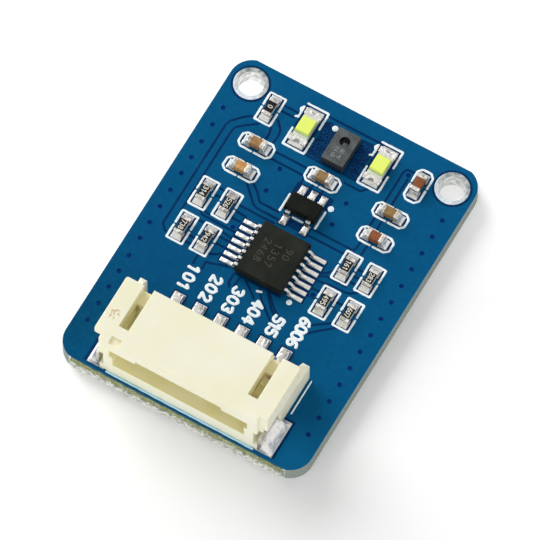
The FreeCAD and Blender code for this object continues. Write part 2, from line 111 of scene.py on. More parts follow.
# Painted light: the first entry brightens the front right corner, where the plug housing's shadow falls; the
# second darkens the front left corner.
CORNER_PAINTED_LIGHT_AND_TONE = (((10.4, -14.6, 1.6), 4.5, 0.8, "#0A6FA4"), ((-11.0, -12.0, 1.6), 7.0, 0.45, "#003A52"))
for corner, reach, amount, tint in CORNER_PAINTED_LIGHT_AND_TONE:
    away = add("VectorMath", place, corner, operation="DISTANCE")
    blue = add("Mix", add("MapRange", away, 1.0, reach, amount, 0.0), blue, tint, data_type="RGBA")
blue = add("Mix", add("MapRange", grain, 0.4, 0.8, 0.0, 0.25), blue, "#0A6590", data_type="RGBA")
rub = worn_edges(add, 0.06, 0.75, 0.98)[0]
coat(mask, {
    "Base Color": add("Mix", rub, blue, "#4E8CA8", data_type="RGBA"),
    "Roughness": add("MapRange", grain, 0.3, 0.7, 0.26, 0.42),
    "Normal": add("Bump", 1.0, 0.001 * MM, None, grain),
    "IOR": 1.5,
    "Specular IOR Level": 0.05,
})

# Glass-fibre laminate, routed: the cutter leaves a dull grey-green face on which the layers of
# cloth, 0.2 mm each, show as faint bands with pale flecks.
routed, add, place = start_finish("routed_glass_laminate")
fleck = add("TexNoise", place, 1 / 0.3, 5.0)
turns = add("Math", add("SeparateXYZ", place, out="Z"), 2 * math.pi / 0.2, operation="MULTIPLY")
bands = add("MapRange", add("Math", turns, operation="SINE"), -1, 1, 0.0, 1.0)
plies = add("Mix", bands, "#78847F", "#8E968C", data_type="RGBA")
plies = add("Mix", add("MapRange", fleck, 0.5, 0.75, 0.0, 0.5), plies, "#A2A89B", data_type="RGBA")
rub = worn_edges(add, 0.08, 0.75, 0.98)[0]
coat(routed, {
    "Base Color": add("Mix", rub, plies, "#B9C2BE", data_type="RGBA"),
    "Roughness": add("MapRange", fleck, 0.3, 0.7, 0.6, 0.85),
    "Normal": add("Bump", 1.0, 0.02 * MM, None, fleck),
    "IOR": 1.55,
})

# Glass-fibre laminate, scored: the wheel smears mask over the top of its groove, polishes the
# olive epoxy below it, and leaves ragged white glass at the root and dust on the lower face.
scored, add, place = start_finish("scored_glass_laminate")
drag = add("TexNoise", add("Mapping", place, None, None, (1.6, 12.0, 12.0)), 1.0, 4.0)
fleck = add("TexNoise", place, 1 / 0.16, 3.0)
olive = add("Mix", add("MapRange", drag, 0.35, 0.65, 0, 1), "#6F7A40", "#929B62", data_type="RGBA")
olive = add("Mix", add("MapRange", fleck, 0.52, 0.66, 0, 0.8), olive, "#C3C9AE", data_type="RGBA")
dusty = add("Mix", add("MapRange", fleck, 0.4, 0.6, 0, 1), "#A9AB9C", "#D2D4CB", data_type="RGBA")
frayed = add("Mix", add("MapRange", fleck, 0.42, 0.58, 0, 1), "#9B9E92", "#E6E8E0", data_type="RGBA")
out_from = add("Math", add("SeparateXYZ", place, out="Y"), operation="ABSOLUTE")
ragged = add("Math", drag, 0.16, out_from, operation="MULTIPLY_ADD")
upper = add("Mix", add("MapRange", ragged, 15.58, 15.62, 0, 1), olive, frayed, data_type="RGBA")
upper = add("Mix", add("MapRange", ragged, 15.41, 15.44, 0, 1), "#07405A", upper, data_type="RGBA")
height = add("MapRange", add("SeparateXYZ", place, out="Z"), 0.5, 0.9, 0, 1)
coat(scored, {
    "Base Color": add("Mix", height, dusty, upper, data_type="RGBA"),
    "Roughness": add("MapRange", drag, 0.3, 0.7, 0.4, 0.65),
    "Normal": add("Bump", 1.0, 0.015 * MM, None, drag),
    "IOR": 1.55,
})

# Glass cloth, torn: bundles of bare glass stand out of the snapped web, whitish where the resin
# crazed, so the edge reads as a pale, rough band.
torn, add, place = start_finish("torn_glass_cloth")
hairs = add("TexNoise", add("Mapping", place, None, None, (3.2, 1.0, 5.5)), 1.0, 5.0)
patch = add("MapRange", add("TexNoise", place, 1 / 0.7, 3.0), 0.5, 0.7, 0, 0.5)
cloth = add("Mix", add("MapRange", hairs, 0.4, 0.6, 0, 1), "#9A9D91", "#E9EBE4", data_type="RGBA")
cloth = add("Mix", patch, cloth, "#B9BC9E", data_type="RGBA")
rub = worn_edges(add, 0.05, 0.6, 0.95)[0]
coat(torn, {
    "Base Color": add("Mix", rub, cloth, "#E8EAE2", data_type="RGBA"),
    "Roughness": add("MapRange", hairs, 0.3, 0.7, 0.65, 0.9),
    "Normal": add("Bump", 1.0, 0.09 * MM, None, hairs),
    "IOR": 1.52,
})

for face in dress("circuit_board", mask, routed, scored, torn):
    middle = face.center / MM
    past_score = abs(middle.y) > SCORE_ROOT
    printed = middle.z > BOARD_TOP - 0.01 or middle.z < 0.01
    if abs(face.normal.z) > 0.95 and printed:
        face.material_index = 0
    elif past_score and WEB_LOW < middle.z < WEB_HIGH and abs(face.normal.x) < 0.5:
        face.material_index = 3
    elif past_score and 0.2 < abs(face.normal.z) < 0.9:
        face.material_index = 2
    else:
        face.material_index = 1

# Loose strands: single glass yarns pulled out of the web when the panel was snapped. They lie
# along and across the break, 0.02 mm thick, and stay within its depth.
# A finish with one cloudy grain: its size in mm sets the pattern, and the same grain drives the
# tone, the sheen and the relief. Softened gives the radius in mm of the rounding on its edges.
def mottled_finish(name, size, detail, tones, seen, sheen, depth, fixed, softened=0):
    material, add, place = start_finish(name)
    grain = add("TexNoise", place, 1 / size, detail)
    rounding = add("Bevel", softened * MM, samples=6) if softened else None
    sockets = {
        "Base Color": add("Mix", add("MapRange", grain, *seen, 0, 1), *tones, data_type="RGBA"),
        "Roughness": add("MapRange", grain, 0.3, 0.7, *sheen),
        "Normal": add("Bump", 1.0, depth * MM, None, grain, rounding),
    }
    coat(material, {**sockets, **fixed})
    return material


# Joins neighbouring rows of points, each as wide as the last, into a skin of four-sided faces.
def stitch(faces, start, rows, wide, closed=False):
    for row in range(rows):
        for k in range(wide if closed else wide - 1):
            a = start + row * wide + k
            b = start + row * wide + (k + 1) % wide
            faces.append((a, b, b + wide, a + wide))


def show(name, verts, faces, material, stands_for=(), smooth=True):
    mesh = bpy.data.meshes.new(name)
    mesh.from_pydata([(x * MM, y * MM, z * MM) for x, y, z in verts], [], faces)
    mesh.validate()
    mesh.materials.append(material)
    mesh.polygons.foreach_set("use_smooth", [smooth] * len(mesh.polygons))
    made = bpy.data.objects.new(name, mesh)
    bpy.context.scene.collection.objects.link(made)
    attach(made, "root")
    if stands_for:
        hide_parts(*stands_for)
    return made


# Glass yarn: drawn bare glass, almost white, with a soft glint along each strand.
YARN_TONES = ("#B9BCB0", "#FBFBF8")
yarn = mottled_finish("loose_glass_yarn", 0.5, 2.0, YARN_TONES, (0, 1), (0.35, 0.6), 0.004, {"IOR": 1.52})
STRANDS_PER_END = 420
EDGE_LIMIT = 15.7
rng = random.Random(7)
verts, faces = [], []
for end in (-1, 1):
    for count in range(STRANDS_PER_END):
        x = rng.uniform(-9.9, 9.9)
        z = rng.uniform(0.5, 1.12)
        length = rng.uniform(0.06, 0.38)
        lean = rng.choice((rng.uniform(-0.4, 0.4), rng.uniform(0.9, 1.5), rng.uniform(-1.5, -0.9)))
        thick = rng.uniform(0.01, 0.024)
        sag = rng.uniform(-0.25, 0.2)
        start = len(verts)
        for step in range(6):
            t = step / 5
            px = x + math.sin(lean) * length * t
            py = 15.45 + math.cos(lean) * length * t * 0.6 + 0.03 * math.sin(5 * t + count)
            pz = min(max(z + sag * t * t * length, 0.46), 1.14)
            # The rear web leans back as it rises, and its strands stay below it.
            if end > 0:
                py = min(py, SCORE_ROOT + 0.37 * (BOARD_TOP - pz))
            for corner in range(4):
                turn = corner * math.pi / 2
                across = thick * (1.05 - t * 0.6)
                bulge = across * math.cos(turn) * 0.8
                verts.append((px + bulge, end * min(py, EDGE_LIMIT), pz + across * math.sin(turn)))
        stitch(faces, start, 5, 4, closed=True)
        faces.append(tuple(start + 20 + c for c in range(4)))
show("edge_strands", verts, faces, yarn)


# Copper clearances: thin gaps etched round the tracks in the copper pour. The mask dips into
# each gap and looks darker there, with a small lip where it climbs back over the copper edge.
def rounded(points, cut, closed=False):
    path = []
    total = len(points)
    for i in range(total):
        here = Vector(points[i])
        if not closed and i in (0, total - 1):
            path.append(here)
            continue
        before = Vector(points[i - 1]) - here
        after = Vector(points[(i + 1) % total]) - here
        a = here + before.normalized() * min(cut, before.length * 0.45)
        b = here + after.normalized() * min(cut, after.length * 0.45)
        for t in (0.0, 0.33, 0.67, 1.0):
            path.append(a * (1 - t) ** 2 + here * 2 * t * (1 - t) + b * t * t)
    return path


# Lays a strip with the given cross-section along the points, with rounded ends and corners and a
# slightly uneven edge, as etching and screen printing leave them.
def lay_strip(verts, faces, points, width, z, profile, cut=0.1, closed=False, waver=0.01):
    path = rounded(points, cut, closed)
    if closed:
        path.append(path[0])
    rows = []
    for a, b in zip(path, path[1:]):
        pieces = max(1, int((b - a).length / 0.25))
        for k in range(pieces):
            rows.append((a.lerp(b, k / pieces), 1.0))
    rows.append((path[-1], 1.0))
    if not closed:
        first = (rows[0][0] - rows[1][0]).normalized() * width / 2
        last = (rows[-1][0] - rows[-2][0]).normalized() * width / 2
        turns = [math.radians(v) for v in (30, 60, 84)]
        nose = [(rows[0][0] + first * math.sin(v), math.cos(v)) for v in reversed(turns)]
        tail = [(rows[-1][0] + last * math.sin(v), math.cos(v)) for v in turns]
        rows = nose + rows + tail
    start = len(verts)
    end = len(rows) - 1
    for i, (at, share) in enumerate(rows):
        following = rows[1][0] if closed and i == end else rows[min(i + 1, end)][0]
        leading = rows[-2][0] if closed and i == 0 else rows[max(i - 1, 0)][0]
        onward, backward = following - at, at - leading
        ahead = onward.normalized() if onward.length > 1e-6 else backward.normalized()
        behind = backward.normalized() if backward.length > 1e-6 else ahead
        along = (ahead + behind).normalized()
        side = Vector((-along.y, along.x))
        miter = 1 / max(0.6, along.dot(ahead))
        for share_across, height in profile:
            wave = waver * noise.noise(Vector((at.x * 3.1, at.y * 3.1, share_across * 4 + width)))
            out = side * (share_across * width * share * miter + (wave if abs(share_across) > 0.3 else 0))
            verts.append((at.x + out.x, at.y + out.y, z + height))
    stitch(faces, start, end, len(profile))


# Solder mask over bare laminate: the same blue ink with no copper below it, so it reads near navy.
MASK_SHINE = {"IOR": 1.5, "Specular IOR Level": 0.05}
GAP_TONES = ("#002A55", "#003562")
gap = mottled_finish(
    "blue_mask_over_laminate", 1.2, 3.0, GAP_TONES, (0.3, 0.7), (0.28, 0.42), 0.002, MASK_SHINE
)
GAP_PROFILE = ((-0.5, 0.0), (-0.4, 0.011), (-0.28, 0.004), (0.28, 0.004), (0.4, 0.011), (0.5, 0.0))
GAPS = (
    (
        (-7.95, 10.73), (-8.55, 10.27), (-9.3, 9.45), (-9.45, 9.0),
        (-9.45, -1.27), (-9.0, -1.73), (-8.7, -1.86),
    ),
    ((-7.15, 10.36), (-8.0, 9.73), (-8.62, 9.2), (-8.75, 8.8), (-8.75, 0.6)),
    ((-6.15, 12.86), (-4.75, 12.86)),
    ((-6.15, 12.32), (-4.9, 12.32)),
    ((-5.95, 11.45), (-5.3, 10.78), (-5.2, 10.2), (-5.24, 9.45)),
    ((-6.1, 10.6), (-5.95, 10.0), (-5.95, 9.42)),
    ((-4.7, 8.87), (-1.55, 8.87)),
    ((-4.7, 8.15), (-1.5, 8.15)),
    ((-2.4, 13.82), (2.35, 13.82)),
    ((-5.25, 5.2), (-3.95, 3.92), (-3.5, 3.7), (-1.35, 3.68)),
    ((-4.75, 5.45), (-4.27, 5.1), (-3.55, 4.3), (-1.75, 4.28)),
    ((1.55, 4.33), (5.2, 4.33), (5.35, 4.55), (5.4, 5.35)),
    ((1.45, 3.68), (4.75, 3.68)),
    ((6.0, 4.2), (6.0, 5.35)),
    ((-4.9, 3.23), (-1.6, 3.22)),
    ((-4.85, 2.63), (-3.85, 2.58)),
    ((-4.9, 1.98), (-3.9, 1.95)),
    ((-7.4, 1.36), (-7.08, 0.97), (-3.85, 0.93)),
    ((-7.0, 1.38), (-6.75, 1.28), (-6.45, 1.32)),
    ((-4.9, 0.45), (-3.85, 0.35)),
    ((-4.9, -0.02), (-3.9, -0.02)),
    ((-4.9, -0.68), (-3.85, -0.68)),
    ((-4.85, -1.78), (-4.27, -1.55), (-3.9, -1.25)),
    ((-7.1, 3.76), (-6.45, 3.76)),
    ((-7.1, 3.06), (-6.45, 3.06)),
    ((-7.1, -1.15), (-6.45, -1.15)),
    ((-7.1, -1.78), (-6.45, -1.78)),
    ((-7.1, 0.42), (-6.45, 0.42)),
    ((-5.52, -2.2), (-5.5, -3.15)),
    ((-4.62, -3.2), (-4.68, -2.55), (-4.2, -2.45), (-3.5, -2.18), (-2.9, -2.05)),
    ((-2.15, -2.25), (-2.14, -3.2), (-1.9, -3.5)),
    ((-1.55, -2.3), (-1.6, -3.15)),
    ((-1.1, -2.3), (0.0, -3.1), (0.36, -3.45)),
    ((0.3, -2.3), (0.9, -3.2), (1.36, -3.55), (2.45, -4.45)),
    ((0.95, -2.2), (1.5, -2.9), (1.95, -3.45), (2.64, -4.0)),
    ((1.3, -2.45), (2.2, -3.36), (2.7, -3.7)),
    ((7.5, -2.3), (6.36, -3.3), (5.62, -4.0)),
    ((6.9, -2.2), (5.8, -3.0), (5.55, -3.2)),
    ((3.9, 1.18), (4.4, 1.55), (4.8, 1.95)),
    ((3.95, 0.5), (4.8, 0.66), (6.6, 0.78), (6.9, 0.85), (7.4, 1.22)),
    ((4.0, 0.95), (4.5, 1.25), (6.3, 1.2)),
    ((4.0, -0.25), (4.85, -0.25)),
    ((4.05, -0.98), (4.85, -0.98)),
    ((6.35, -0.35), (6.9, -0.35)),
    ((6.35, 3.05), (6.95, 3.05)),
    ((6.45, 2.35), (6.85, 2.35)),
    ((6.45, 1.75), (6.85, 1.75)),
    ((5.3, 9.4), (5.3, 12.55), (5.5, 12.86), (6.1, 12.9)),
    ((5.92, 9.4), (5.92, 12.1)),
    ((5.3, 7.85), (5.3, 6.85)),
    ((5.96, 7.85), (5.96, 6.85)),
    ((1.6, 9.25), (3.1, 9.25), (3.55, 9.72)),
    ((1.15, 9.9), (2.3, 9.85)),
    ((-2.4, 10.45), (-1.15, 10.42)),
    ((-2.4, 9.87), (-1.15, 9.85)),
    ((1.1, 10.5), (2.3, 10.45)),
    ((1.1, 11.4), (2.3, 11.35)),
    ((1.15, 12.5), (2.3, 12.55)),
    ((1.05, 13.3), (2.2, 13.35)),
    ((-2.4, 11.5), (-1.75, 11.75), (-1.15, 11.7)),
    ((-2.3, 12.9), (-1.15, 12.85)),
    ((-1.5, 7.95), (-1.5, 7.45)),
    ((-0.55, 7.9), (-0.55, 7.4)),
    ((0.45, 7.9), (0.45, 7.4)),
)
GAP_WIDTH = 0.21
RING_GAP_RADIUS = 1.57
# Strips that cross lie on slightly different levels, so that no two faces share a plane.
LEVEL = 0.0004
verts, faces = [], []
for i, points in enumerate(GAPS):
    lay_strip(verts, faces, points, GAP_WIDTH, BOARD_TOP + LEVEL * (i % 7), GAP_PROFILE, waver=0.02)
for node in ("hole_plating_left", "hole_plating_right"):
    low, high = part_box(node)
    x, y = (low[0] + high[0]) / 2 / MM, (low[1] + high[1]) / 2 / MM
    turns = [math.radians(10 * k) for k in range(36)]
    ring = [(x + RING_GAP_RADIUS * math.cos(v), y + RING_GAP_RADIUS * math.sin(v)) for v in turns]
    lay_strip(verts, faces, ring, 0.2, BOARD_TOP, GAP_PROFILE, cut=0.02, closed=True)
show("copper_clearances", verts, faces, gap)


# Clearance fields: patches of laminate left without copper round each group of lands, so that
# solder can't bridge to the pour. They are etched, then covered by the same dark mask.
def lay_field(verts, faces, outline, centre, inset, low, high):
    start, wide = len(verts), len(outline)
    inner = [p + (centre - p).normalized() * inset for p in outline]
    verts += [(p.x, p.y, low) for p in outline] + [(p.x, p.y, high) for p in inner]
    stitch(faces, start, 1, wide, closed=True)
    faces.append(tuple(start + wide + k for k in range(wide)))


PINS_X = [2.0 * k - 5.0 for k in range(6)]
LAMPS_X = (-3.56, 3.44)
CAPACITORS = (
    (-6.31, 8.6, 0), (-6.33, 6.1, 0), (-0.1, 8.6, 0), (6.3, 8.6, 0), (6.3, 6.1, 0), (7.0, 12.0, 90),
)
RESISTORS = (
    (-6.98, 12.0), (-7.88, 2.72), (-5.68, 2.72), (-7.88, -0.8), (-5.68, -0.8),
    (5.55, 2.72), (7.75, 2.72), (5.52, -0.88), (7.75, -0.88),
)
FIELDS = [(x - 0.66, x + 0.66, -8.6, -5.84) for x in PINS_X]
FIELDS += [(-3.95, -2.3, -1.95, 2.5), (2.4, 4.02, -1.95, 2.5), (-1.75, 1.66, 6.2, 7.5)]
FIELDS += [(-1.4, -0.55, 3.3, 4.6), (0.5, 1.36, 3.3, 4.6), (-1.35, 1.25, 3.55, 4.25)]
FIELDS += [(-2.2, 2.2, -2.35, -2.1), (-8.95, -6.9, -15.0, -11.25), (6.9, 8.85, -15.0, -11.25)]
FIELDS += [(-1.2, 1.2, 9.75, 13.3), (-4.6, -2.62, 9.98, 13.9), (2.4, 4.4, 9.98, 13.9)]
for x, y, angle in CAPACITORS:
    for a, b in ((-1.36, -0.34), (0.34, 1.36)):
        FIELDS.append((x - 0.6, x + 0.6, y + a, y + b) if angle else (x + a, x + b, y - 0.6, y + 0.6))
for x, y in RESISTORS:
    for a, b in ((-1.33, -0.34), (0.34, 1.33)):
        FIELDS.append((x - 0.62, x + 0.62, y + a, y + b))
verts, faces = [], []
for i, (x0, x1, y0, y1) in enumerate(FIELDS):
    z = BOARD_TOP + 0.0002 + LEVEL * (i % 9)
    outline = rounded(((x0, y0), (x1, y0), (x1, y1), (x0, y1)), 0.12, True)
    lay_field(verts, faces, outline, Vector(((x0 + x1) / 2, (y0 + y1) / 2)), 0.06, z, z + 0.006)
show("bare_fields", verts, faces, gap, smooth=False)

# Fine tracks either side of the light sensor: the copper there is cut up so small that it is
# drawn as a net in the finish. Blue mask over it reads as a dark patchwork, near navy in the cuts.
netted, add, place = start_finish("blue_mask_over_fine_tracks")
cuts = add("TexVoronoi", place, 2.4, feature="DISTANCE_TO_EDGE")
cloud = add("TexNoise", place, 1 / 0.5, 3.0)
clouded = add("MapRange", cloud, 0.45, 0.65, 0, 0.7)
netting = add("Mix", add("MapRange", cuts, 0.04, 0.14, 0, 1), "#002450", "#003E6E", data_type="RGBA")
coat(netted, {
    "Base Color": add("Mix", clouded, netting, "#013060", data_type="RGBA"),
    "Roughness": add("MapRange", cloud, 0.3, 0.7, 0.28, 0.42),
    "Normal": add("Bump", 1.0, 0.004 * MM, None, cuts),
    "IOR": 1.5,
    "Specular IOR Level": 0.08,
})
verts, faces = [], []
for x0, x1, y0, y1 in ((-2.5, -1.0, 9.9, 13.55), (1.0, 2.45, 9.75, 13.5)):
    centre = Vector(((x0 + x1) / 2, (y0 + y1) / 2))
    corners = [Vector(at) for at in ((x0, y0), (x1, y0), (x1, y1), (x0, y1))]
    outline = []
    for k in range(64):
        at = corners[k // 16].lerp(corners[(k // 16 + 1) % 4], k % 16 / 16)
        wave = noise.noise(Vector((at.x * 2.2, at.y * 2.2, 3)))
        outline.append(at + (centre - at).normalized() * (0.1 + 0.12 * wave))
    lay_field(verts, faces, outline, centre, 0.05, BOARD_TOP - 0.001, BOARD_TOP + 0.0015)
show("fine_track_nets", verts, faces, netted, smooth=False)


# Covered vias: small plated holes that tie the two copper pours together, drilled and closed by
# the mask. Each is a shallow dark dimple in a raised ring of mask, shown on the top face.

# One ring of points round x, y. The noise that makes it uneven is read spacing mm from its centre.
def ring_points(x, y, radius, height, count, wobble, spacing, seed):
    points = []
    for k in range(count):
        turn = k * 2 * math.pi / count
        across = Vector((x + spacing * math.cos(turn), y + spacing * math.sin(turn), seed))
        reach = radius * (1 + wobble * noise.noise(across))
        points.append((x + reach * math.cos(turn), y + reach * math.sin(turn), BOARD_TOP + height))
    return points


LEFT_VIAS_Y = (10.2, 8.44, 6.66, 5.0, 3.36, 1.6, -0.1, -1.76, -3.36, -5.16, -6.76, -8.4, -10.1, -11.8)
VIAS = [(-10.4, y) for y in LEFT_VIAS_Y] + [(10.2, 10.3 - 1.69 * k) for k in range(14)]
VIAS += [(-3.6, 7.7), (2.65, 7.7), (-3.6, 5.45), (2.6, 5.5), (-4.3, 1.25), (4.35, -0.75), (5.8, 12.45)]
SMALL_VIAS = [(-2.1, 12.55), (-1.7, 12.1), (-2.15, 11.85), (-1.5, 11.6), (-2.0, 11.2), (-2.2, 10.8)]
SMALL_VIAS += [(1.3, 12.9), (1.9, 12.3), (1.35, 11.9), (1.95, 11.0), (1.4, 10.9), (1.9, 10.1)]
SMALL_VIAS.append((1.3, 10.2))
VIA_RADIUS, SMALL_VIA_RADIUS = 0.3, 0.2
VIA_RINGS = ((1.0, -0.001), (0.86, 0.01), (0.7, 0.012), (0.52, 0.004))
# Solder mask over a via: the ink sags into the drilled hole and pools there, almost black-blue.
VIA_TONES = ("#001C54", "#00306C")
dimple = mottled_finish(
    "blue_mask_over_via", 0.2, 3.0, VIA_TONES, (0.35, 0.65), (0.22, 0.4), 0.004, MASK_SHINE
)
verts, faces = [], []
for radius, spots in ((VIA_RADIUS, VIAS), (SMALL_VIA_RADIUS, SMALL_VIAS)):
    for x, y in spots:
        start = len(verts)
        for r, h in [(radius * share, height) for share, height in VIA_RINGS] + [(0.02, 0.003)]:
            verts += ring_points(x, y, r, h, 16, 0.08, 1, r)
        stitch(faces, start, 4, 16, closed=True)
vias = show("covered_vias", verts, faces, mask)
vias.data.materials.append(dimple)
for i, face in enumerate(vias.data.polygons):
    face.material_index = 1 if (i // 16) % 4 >= 2 else 0

# Printed legend: white epoxy ink laid 0.02 mm thick through a screen and baked. The pin labels
# are plain numbers, and lines and dots frame the place of each part.

# White epoxy ink: chalky and faintly blue where the mask shows through a thin patch, most of all
# in the long line before the plug housing.
ink, add, place = start_finish("white_legend_ink")
cover = add("TexNoise", place, 1 / 0.12, 3.0)
thin = add("MapRange", add("TexNoise", place, 1 / 0.6, 2.0), 0.55, 0.75, 0, 0.5)
front = add("MapRange", add("SeparateXYZ", place, out="Y"), -14.7, -14.6, 0.8, 0)
white = add("Mix", add("MapRange", cover, 0.3, 0.55, 0.0, 1.0), "#DDF0F8", "#F8FEFF", data_type="RGBA")
white = add("Mix", thin, white, "#D2E4EC", data_type="RGBA")
coat(ink, {
    "Base Color": add("Mix", front, white, "#A9DCF6", data_type="RGBA"),
    "Roughness": add("MapRange", cover, 0.3, 0.7, 0.5, 0.7),
    "Normal": add("Bump", 1.0, 0.01 * MM, None, cover),
    "IOR": 1.5,
})
FRAME_WIDTH, STROKE_WIDTH = 0.2, 0.27
INK_PROFILE = ((-0.5, 0.0), (-0.4, 0.016), (0.0, 0.02), (0.4, 0.016), (0.5, 0.0))
LINES = []
for x, y, angle in CAPACITORS:
    for side in (-1, 1):
        half = [(0.14, 0.68), (1.15, 0.68), (1.5, 0.38), (1.5, -0.38), (1.15, -0.68), (0.14, -0.68)]
        if angle:
            LINES.append([(x - v * 1.04, y + side * u) for u, v in half])
        else:
            LINES.append([(x + side * u, y + v) for u, v in half])
for x, y in RESISTORS:
    for side in (-1, 1):
        half = [(-0.72, 0.15), (-0.72, 1.36), (0.72, 1.36), (0.72, 0.15)]
        LINES.append([(x + u, y + side * v) for u, v in half])
for x in LAMPS_X:
    LINES.append([(x - 0.95, 14.0), (x + 0.97, 14.0), (x + 0.97, 12.4)])
    LINES.append([(x - 1.0, 11.45), (x - 1.0, 9.85), (x + 0.97, 9.85), (x + 0.97, 11.45)])
    LINES.append([(x - 1.1, 13.6), (x - 1.3, 13.35), (x - 1.1, 13.1), (x - 1.1, 12.6), (x - 1.3, 12.5)])
    LINES.append([(x - 1.1, 13.55), (x - 1.1, 12.55)])
LINES += [[(-1.75, 6.15), (-1.75, 4.5)], [(1.56, 6.15), (1.56, 4.5)], [(-0.5, 4.46), (0.4, 4.46)]]
LINES += [[(0.25, -2.72), (0.6, -2.62)], [(-6.75, -15.01), (6.9, -15.01)]]
DIGITS = {
    "0": (
        (0.3, 1), (0.06, 0.86), (0, 0.5), (0.06, 0.14), (0.3, 0), (0.54, 0.14), (0.6, 0.5),
        (0.54, 0.86), (0.3, 1),
    ),
    "1": ((0.1, 0.78), (0.34, 1), (0.34, 0)),
    "2": ((0.02, 0.8), (0.14, 0.96), (0.4, 0.98), (0.58, 0.8), (0.52, 0.55), (0.02, 0.02), (0.6, 0.02)),
    "3": (
        (0.02, 0.88), (0.3, 1), (0.54, 0.86), (0.5, 0.6), (0.25, 0.53), (0.55, 0.42), (0.58, 0.16),
        (0.3, 0), (0.0, 0.12),
    ),
    "4": ((0.44, 0), (0.44, 1), (0.0, 0.3), (0.62, 0.3)),
    "5": (
        (0.55, 1), (0.1, 1), (0.04, 0.56), (0.35, 0.62), (0.58, 0.45), (0.56, 0.14), (0.3, 0),
        (0.02, 0.1),
    ),
    "6": (
        (0.5, 0.96), (0.2, 0.86), (0.02, 0.45), (0.06, 0.12), (0.3, 0), (0.55, 0.12), (0.57, 0.4),
        (0.34, 0.56), (0.06, 0.4),
    ),
    "7": ((0.0, 1), (0.58, 1), (0.2, 0)),
    "8": (
        (0.3, 0.54), (0.06, 0.68), (0.08, 0.9), (0.3, 1), (0.52, 0.9), (0.54, 0.68), (0.3, 0.54),
        (0.02, 0.36), (0.06, 0.1), (0.3, 0), (0.54, 0.1), (0.58, 0.36), (0.3, 0.54),
    ),
    "9": (
        (0.54, 0.6), (0.28, 0.46), (0.04, 0.6), (0.06, 0.9), (0.3, 1), (0.54, 0.9), (0.58, 0.55),
        (0.42, 0.14), (0.12, 0.02),
    ),
}


# Writes a row of digits. For x and then for y, the layout gives where the first digit starts, the
# step to the next one, and how far a digit's own width and its own height reach that way.
def write_digits(verts, faces, digits, layout, width, z, profile, cut, waver):
    for k, digit in enumerate(digits):
        points = []
        for u, v in DIGITS[digit]:
            points.append([first + k * step + u * wide + v * high for first, step, wide, high in layout])
        lay_strip(verts, faces, points, width, z + 0.0005 * k, profile, cut, waver=waver)


verts, faces = [], []
for points in LINES:
    lay_strip(verts, faces, points, FRAME_WIDTH, BOARD_TOP, INK_PROFILE, cut=0.07, waver=0.03)
lay_strip(verts, faces, [(8.09, -7.5), (8.09, -10.75)], 0.13, BOARD_TOP, INK_PROFILE, waver=0.01)
LABELS = (
    (-5.64, -3.28, 2.35, "101"), (-3.55, -3.22, 2.4, "202"), (-1.5, -3.27, 2.35, "303"),
    (0.5, -3.42, 2.2, "404"), (2.6, -3.82, 1.8, "515"), (4.6, -2.88, 2.75, "6006"),
)
for x, y, length, digits in LABELS:
    pitch = (length - 0.62) / (len(digits) - 1)
    layout = ((x, 0, 0, 0.92), (y, -pitch, -0.95, 0))
    write_digits(verts, faces, digits, layout, STROKE_WIDTH, BOARD_TOP, INK_PROFILE, 0.12, 0.04)
for x, y, radius in ((-1.48, 13.12, 0.27), (1.8, 6.65, 0.27), (3.02, -2.3, 0.25)):
    start = len(verts)
    for share, h in ((1.0, 0.0), (0.88, 0.016), (0.02, 0.02)):
        verts += ring_points(x, y, radius * share, h, 20, 0.06, 2, 1)
    stitch(faces, start, 2, 20, closed=True)
show("printed_legend", verts, faces, ink)

# Lands and plated holes: copper levelled with molten tin in hot air, so the skin is bright and
# gently lumpy, thicker toward the middle of each land. The barrels line the two screw holes.

# Levelled tin, on the lands: pale grey metal with a fine grain in its shine.
tinned, add, place = start_finish("levelled_tin")
grain = add("TexNoise", place, 1 / 0.07, 4.0)
lumps = add("Math", add("TexNoise", place, 1 / 0.5, 2.0), grain)
frosted = add("MapRange", grain, 0.3, 0.7, 0, 1)
coat(tinned, {
    "Base Color": add("Mix", frosted, "#BDBDBB", "#DEDDDD", data_type="RGBA"),
    "Roughness": add("MapRange", grain, 0.3, 0.7, 0.32, 0.5),
    "Normal": add("Bump", 1.0, 0.03 * MM, None, lumps, add("Bevel", 0.03 * MM, samples=6)),
    "Metallic": 1.0,
})
dress("tinned_lands", tinned)

# Levelled tin, on the rings: a darker grey than on the lands, with a painted reflection that runs from
# dull grey at the back of each ring to bright in front.
ring_tin, add, place = start_finish("levelled_tin_ring")
lump = add("TexNoise", place, 1 / 0.35, 3.0)
# Painted reflection: each ring is painted brighter toward its front.
painted_reflection = add("MapRange", add("SeparateXYZ", place, out="Y"), 13.9, 12.0, 0.0, 0.85)
dull_ring_grey = add("Mix", add("MapRange", lump, 0.35, 0.65, 0, 1), "#7F8A8E", "#B9BDBA", data_type="RGBA")
coat(ring_tin, {
    "Base Color": add("Mix", painted_reflection, dull_ring_grey, "#DCE6EC", data_type="RGBA"),
    "Roughness": add("MapRange", lump, 0.3, 0.7, 0.32, 0.5),
    "Normal": add("Bump", 1.0, 0.03 * MM, None, lump, add("Bevel", 0.05 * MM, samples=6)),
    "Metallic": 1.0,
})
# Levelled tin, in the barrels: a lit copy of the tin, painted nearly white so the hole walls look bright, as
# painted light.
METAL = {"Metallic": 1.0}
LIT_BARREL_TONES = ("#B8BAB7", "#F6F5F4")
lit_barrel_tin = mottled_finish(
    "levelled_tin_barrel", 0.4, 3.0, LIT_BARREL_TONES, (0.35, 0.65), (0.28, 0.45), 0.05, METAL
)
for side in ("left", "right"):
    for face in dress("hole_plating_" + side, ring_tin, lit_barrel_tin):
        face.material_index = 0 if abs(face.normal.z) > 0.7 else 1

# Plug housing: one moulding of ivory nylon from a spark-finished steel mould, pressed over its six
# contacts and held down by its two tabs. Its edges are rubbed and one corner is scuffed brown.

